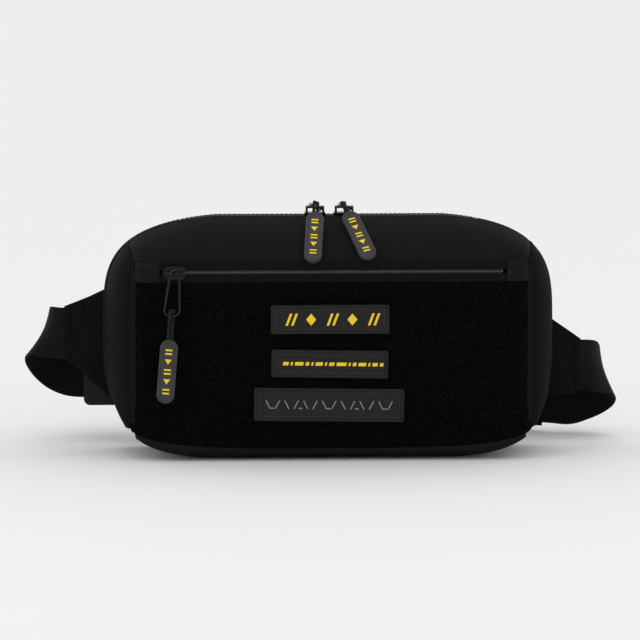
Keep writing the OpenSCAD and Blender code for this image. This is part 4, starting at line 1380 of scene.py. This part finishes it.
for k in range(n):
    follow = (k + 1) % n
    for ringIndex in range(backCloth["rings"] - 1):
        a, b = ringIndex * n + k, ringIndex * n + follow
        clothFaces += [(a, b, b + n, a + n), (clothCount + a + n, clothCount + b + n, clothCount + b, clothCount + a)]
    last = (backCloth["rings"] - 1) * n
    clothFaces.append((last + k, last + follow, clothCount + last + follow, clothCount + last + k))
    clothFaces += [(k, 2 * clothCount, follow), (clothCount + follow, 2 * clothCount + 1, clothCount + k)]
backMeshData = meshFrom("back_cloth", clothPoints, clothFaces, [(x, z) for x, _, z in clothPoints],
                        np.zeros(len(clothPoints)), 50)
faceOutwards(backMeshData)
backMeshData.shade_smooth()
place(addObject("back_cloth", backMeshData), finish["shell"], "bag", "shell_fabric", "back_panel")

backPad = {"y": 33.5, "thick": 2.6, "channelX": (-62, 62), "grid": (97, 49)}
u = np.linspace(-1, 1, backPad["grid"][0])
v = np.linspace(-1, 1, backPad["grid"][1])
gu, gv = np.meshgrid(u, v, indexing="ij")
halfW, halfH = 126.0, 61.5
power = 5.0
fall = np.maximum(1e-9, (np.abs(gu) ** power + np.abs(gv) ** power) ** (1 / power))
square = np.maximum(np.abs(gu), np.abs(gv)) / fall
padX, padZ = gu * square * halfW, midZ - 1.5 + gv * square * halfH
channel = np.exp(-((np.abs(padX) - 62) / 3.0) ** 2)
rim = np.minimum(1, (1 - np.maximum(np.abs(gu), np.abs(gv))) * 9)
thick = backPad["thick"] * (0.25 + 0.75 * rim) * (1 - 0.75 * channel)
padFront = np.stack([padX, np.full(padX.shape, backPad["y"]) + thick, padZ], axis=-1)
padRear = np.stack([padX, np.full(padX.shape, backPad["y"]), padZ], axis=-1)
padShape, rimPoints = padMesh("back_pad", padFront, padRear)
count = padX.size
inChannel = np.where(channel.reshape(-1) > 0.75)[0]
pinned = np.concatenate([rimPoints, rimPoints + count, inChannel, np.arange(count) + count])
backPiece = puff(addObject("back_pad", padShape), pinned, 4.0, 3.2, floorY=backPad["y"])
place(backPiece, finish["backMesh"], "bag", "back_mesh", "back_padding")
channelLines = [[(x, backPad["y"] + 1.05, z) for z in np.linspace(20, 125, 60)] for x in backPad["channelX"]]
stitches("back_pad_stitches", channelLines, "bag", "back_mesh")

# rows of each wing from its root: out, back, low edge, high edge
wings = {
    "left": {"side": -1, "rows": [
        (129, 37.4, 26.2, 102.6), (134, 38.8, 29.4, 100.4), (140, 39.4, 33.6, 97.6), (148, 40.6, 40.6, 93.6),
        (156, 43.0, 48.6, 90.1), (164, 46.1, 53.6, 86.6)]},
    "right": {"side": 1, "rows": [
        (129, 37.4, 28.4, 86.2), (133, 38.8, 28.7, 83.2), (138, 39.4, 29.1, 79.6), (145, 40.6, 29.8, 74.6),
        (152, 43.0, 30.6, 69.6), (158.5, 46.1, 31.6, 64.6)]},
}
wingThick = 3.4
for word, wing in wings.items():
    side = wing["side"]
    line = np.array(wing["rows"], float)
    line = np.stack([np.interp(np.linspace(line[0, 0], line[-1, 0], 34), line[:, 0], line[:, k])
                     for k in range(4)], axis=-1)
    line[1:-1, 1] = np.convolve(line[:, 1], (0.25, 0.5, 0.25), "valid")
    f = np.linspace(0, 1, 41)
    x = side * np.repeat(line[:, :1], 41, axis=1)
    y = np.repeat(line[:, 1:2], 41, axis=1)
    z = line[:, 2:3] * (1 - f) + line[:, 3:4] * f
    middle = np.stack([x, y, z], axis=-1)
    g = np.linspace(0, 1, 34)[:, None]
    border = np.minimum(np.minimum(g * 33, (1 - g) * 33), np.minimum(f * 60, (1 - f) * 60)[None, :])
    half = (wingThick / 2) * (0.35 + 0.4 * np.clip(border / 4, 0, 1))
    sag = 0.5 * np.sin(g * 7 + f[None, :] * 3) * np.clip(border / 6, 0, 1)
    slope = np.gradient(line[:, 1]) / np.maximum(1e-6, np.gradient(line[:, 0]))
    normal = np.stack([-slope * side, np.ones(34), np.zeros(34)], axis=-1)
    normal /= np.linalg.norm(normal, axis=1, keepdims=True)
    off = normal[:, None, :] * half[..., None]
    wave = normal[:, None, :] * sag[..., None]
    mesh, rimOfWing = padMesh("wing_" + word, middle + off + wave, middle - off + wave)
    count = middle.shape[0] * middle.shape[1]
    seam = np.where((border.reshape(-1) > 3.4) & (border.reshape(-1) < 4.6))[0]
    piece = puff(addObject("wing_" + word, mesh), np.concatenate([rimOfWing, rimOfWing + count, seam, seam + count]),
                 3.0, 0.9)
    place(piece, finish["wing"], "bag", "wing_fabric", "wing_" + word)
    rowsOfWing = []
    for faceSide in (-1, 1):
        sewn = middle + normal[:, None, :] * faceSide * (wingThick / 2 - 0.2)
        cells = [[(i, 37) for i in range(2, 31)], [(i, 3) for i in range(2, 31)]]
        cells += [[(i, j) for j in range(3, 38)] for i in (21, 29, 31)]
        cells += [[(i, first + turn * (i - 21) * 4) for i in range(21, 30)] for first, turn in ((4, 1), (36, -1))]
        rowsOfWing += [[tuple(sewn[cell]) for cell in row] for row in cells]
    stitches("wing_stitches_" + word, rowsOfWing, "bag", "wing_fabric")
print("padding made")


# ---------- belt ----------
belt = {"wide": 32, "thick": 1.6, "y": 88, "tailY": 91, "turnX": 154, "ladderX": -84.6, "turnZ": 20.5,
        "ladderZ": 39.0, "ribs": 16}
beltTilt = math.degrees(math.atan2(belt["ladderZ"] - belt["turnZ"], belt["turnX"] - belt["ladderX"]))


def beltZ(x):
    return belt["turnZ"] + (belt["ladderZ"] - belt["turnZ"]) * (belt["turnX"] - x) / (belt["turnX"] - belt["ladderX"])


def straightRun(xs, y): return [(x, y, beltZ(x), -beltTilt) for x in xs]


# each stop of a strap: x, y, z and its lean in degrees
leftRoute = [(-155.5, 43.2, 70.1, 0), (-160.5, 44.9, 69.8, 0), (-165.2, 46.8, 69.6, 0), (-170, 49.5, 69.6, 4),
             (-174, 53.5, 69.4, 14), (-177.2, 60, 67.9, 26), (-178.2, 68, 63.6, 32), (-177, 75.5, 57.4, 31),
             (-173, 82, 50.1, 24), (-167, 86.2, 43.8, 13), (-160.5, 87.8, 40.4, 4), (-155, 88, 39.5, 0),
             (-148.6, 88, 39.4, 0)]
rightRoute = [(151, 42.9, 48.3, 0), (155.6, 44.9, 48.1, 0), (160.2, 47.2, 47.9, 0), (165, 50, 47.2, -6),
              (170, 55, 45.1, -14), (174, 62, 41.6, -19), (175, 70, 36.8, -20), (173, 78, 31.4, -17),
              (168, 84.5, 26.6, -11), (161, 87.6, 22.9, -6)]
rightRoute += straightRun((belt["turnX"], 146, 134, 114, 80, 25, -30, belt["ladderX"]), belt["y"])
tailRoute = straightRun((belt["ladderX"] + 1, 0, 100, belt["turnX"] - 12), belt["tailY"])


def webbing(name, route, n, node):
    # woven strap: a flat section with rounded selvedges and fine ribs along it
    line = np.array(smoothLine(route, n))
    centre = line[:, :3]
    section = []
    half, thick = belt["wide"] / 2, belt["thick"] / 2
    across = np.linspace(-1, 1, 4 * belt["ribs"] + 1)
    rib = 0.09 * np.cos(across * math.pi * belt["ribs"])
    for w, r in zip(across, rib):
        edge = math.sqrt(max(0.0, 1 - max(0.0, (abs(w) - 0.955) / 0.045) ** 2))
        section.append((w * half, (thick - 0.09) * max(0.35, edge) + r * edge))
    outline = section + [(w, -t) for w, t in reversed(section)]
    points, uvs, run = [], [], 0.0
    n = len(line)
    for i in range(n):
        t = centre[min(n - 1, i + 1)] - centre[max(0, i - 1)]
        t /= np.linalg.norm(t)
        tilt = math.radians(line[i, 3])
        w = np.array([math.sin(tilt), 0, math.cos(tilt)])
        w = w - t * (w @ t)
        w /= np.linalg.norm(w)
        normal = np.cross(t, w)
        if i:
            run += np.linalg.norm(centre[i] - centre[i - 1])
        for a, b in outline:
            points.append(centre[i] + w * a + normal * b)
            uvs.append((run, a))
    k = len(outline)
    faces = []
    for i in range(n - 1):
        for j in range(k):
            a, b = i * k + j, i * k + (j + 1) % k
            faces.append((a, b, b + k, a + k))
    faces += [tuple(reversed(range(k))), tuple((n - 1) * k + j for j in range(k))]
    mesh = meshFrom(name, points, faces, uvs, np.zeros(len(points)), 60)
    faceOutwards(mesh)
    mesh.shade_smooth()
    mesh.set_sharp_from_angle(angle=math.radians(70))
    return place(addObject(name, mesh), finish["webbing"], "bag", "webbing", node)


webbing("webbing_left_strap", leftRoute, 7, "webbing_left")
webbing("webbing_right_strap", rightRoute, 8, "webbing_right")
webbing("webbing_tail_strap", tailRoute, 14, "webbing_tail")
refined("keeper_loop", "strap_keeper", 0.4, "elastic", "bag", "elastic")
refined("buckle_female_part", "buckle_female", 0.7, "plastic", "bag", "buckle_plastic")
refined("buckle_male_part", "buckle_male", 0.7, "plastic", "bag", "buckle_plastic")
refined("prong_upper_part", "prong_upper", 0.6, "plastic", "prong_upper_body", "buckle_plastic")
refined("prong_lower_part", "prong_lower", 0.6, "plastic", "prong_lower_body", "buckle_plastic")
print("belt made")

# inner pieces keep their shape and get cloth of their own
for node, material in (("back_lining", "lining"), ("pocket_bag", "lining"),
                       ("slip_pocket", "lining")):
    mesh = nodes[node].data
    co = np.array([v.co for v in mesh.vertices])
    writeUv(mesh, co[:, (0, 2)])
    for k in range(max(1, len(nodes[node].material_slots))):
        if nodes[node].material_slots:
            nodes[node].material_slots[k].material = finish[material]

# the shapes that the trees copied are no longer needed
for piece in (stitchPiece, tuftPiece, toothPiece, toothBackPiece, glintDotPiece):
    bpy.data.objects.remove(piece)

low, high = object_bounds()
print("object ready")
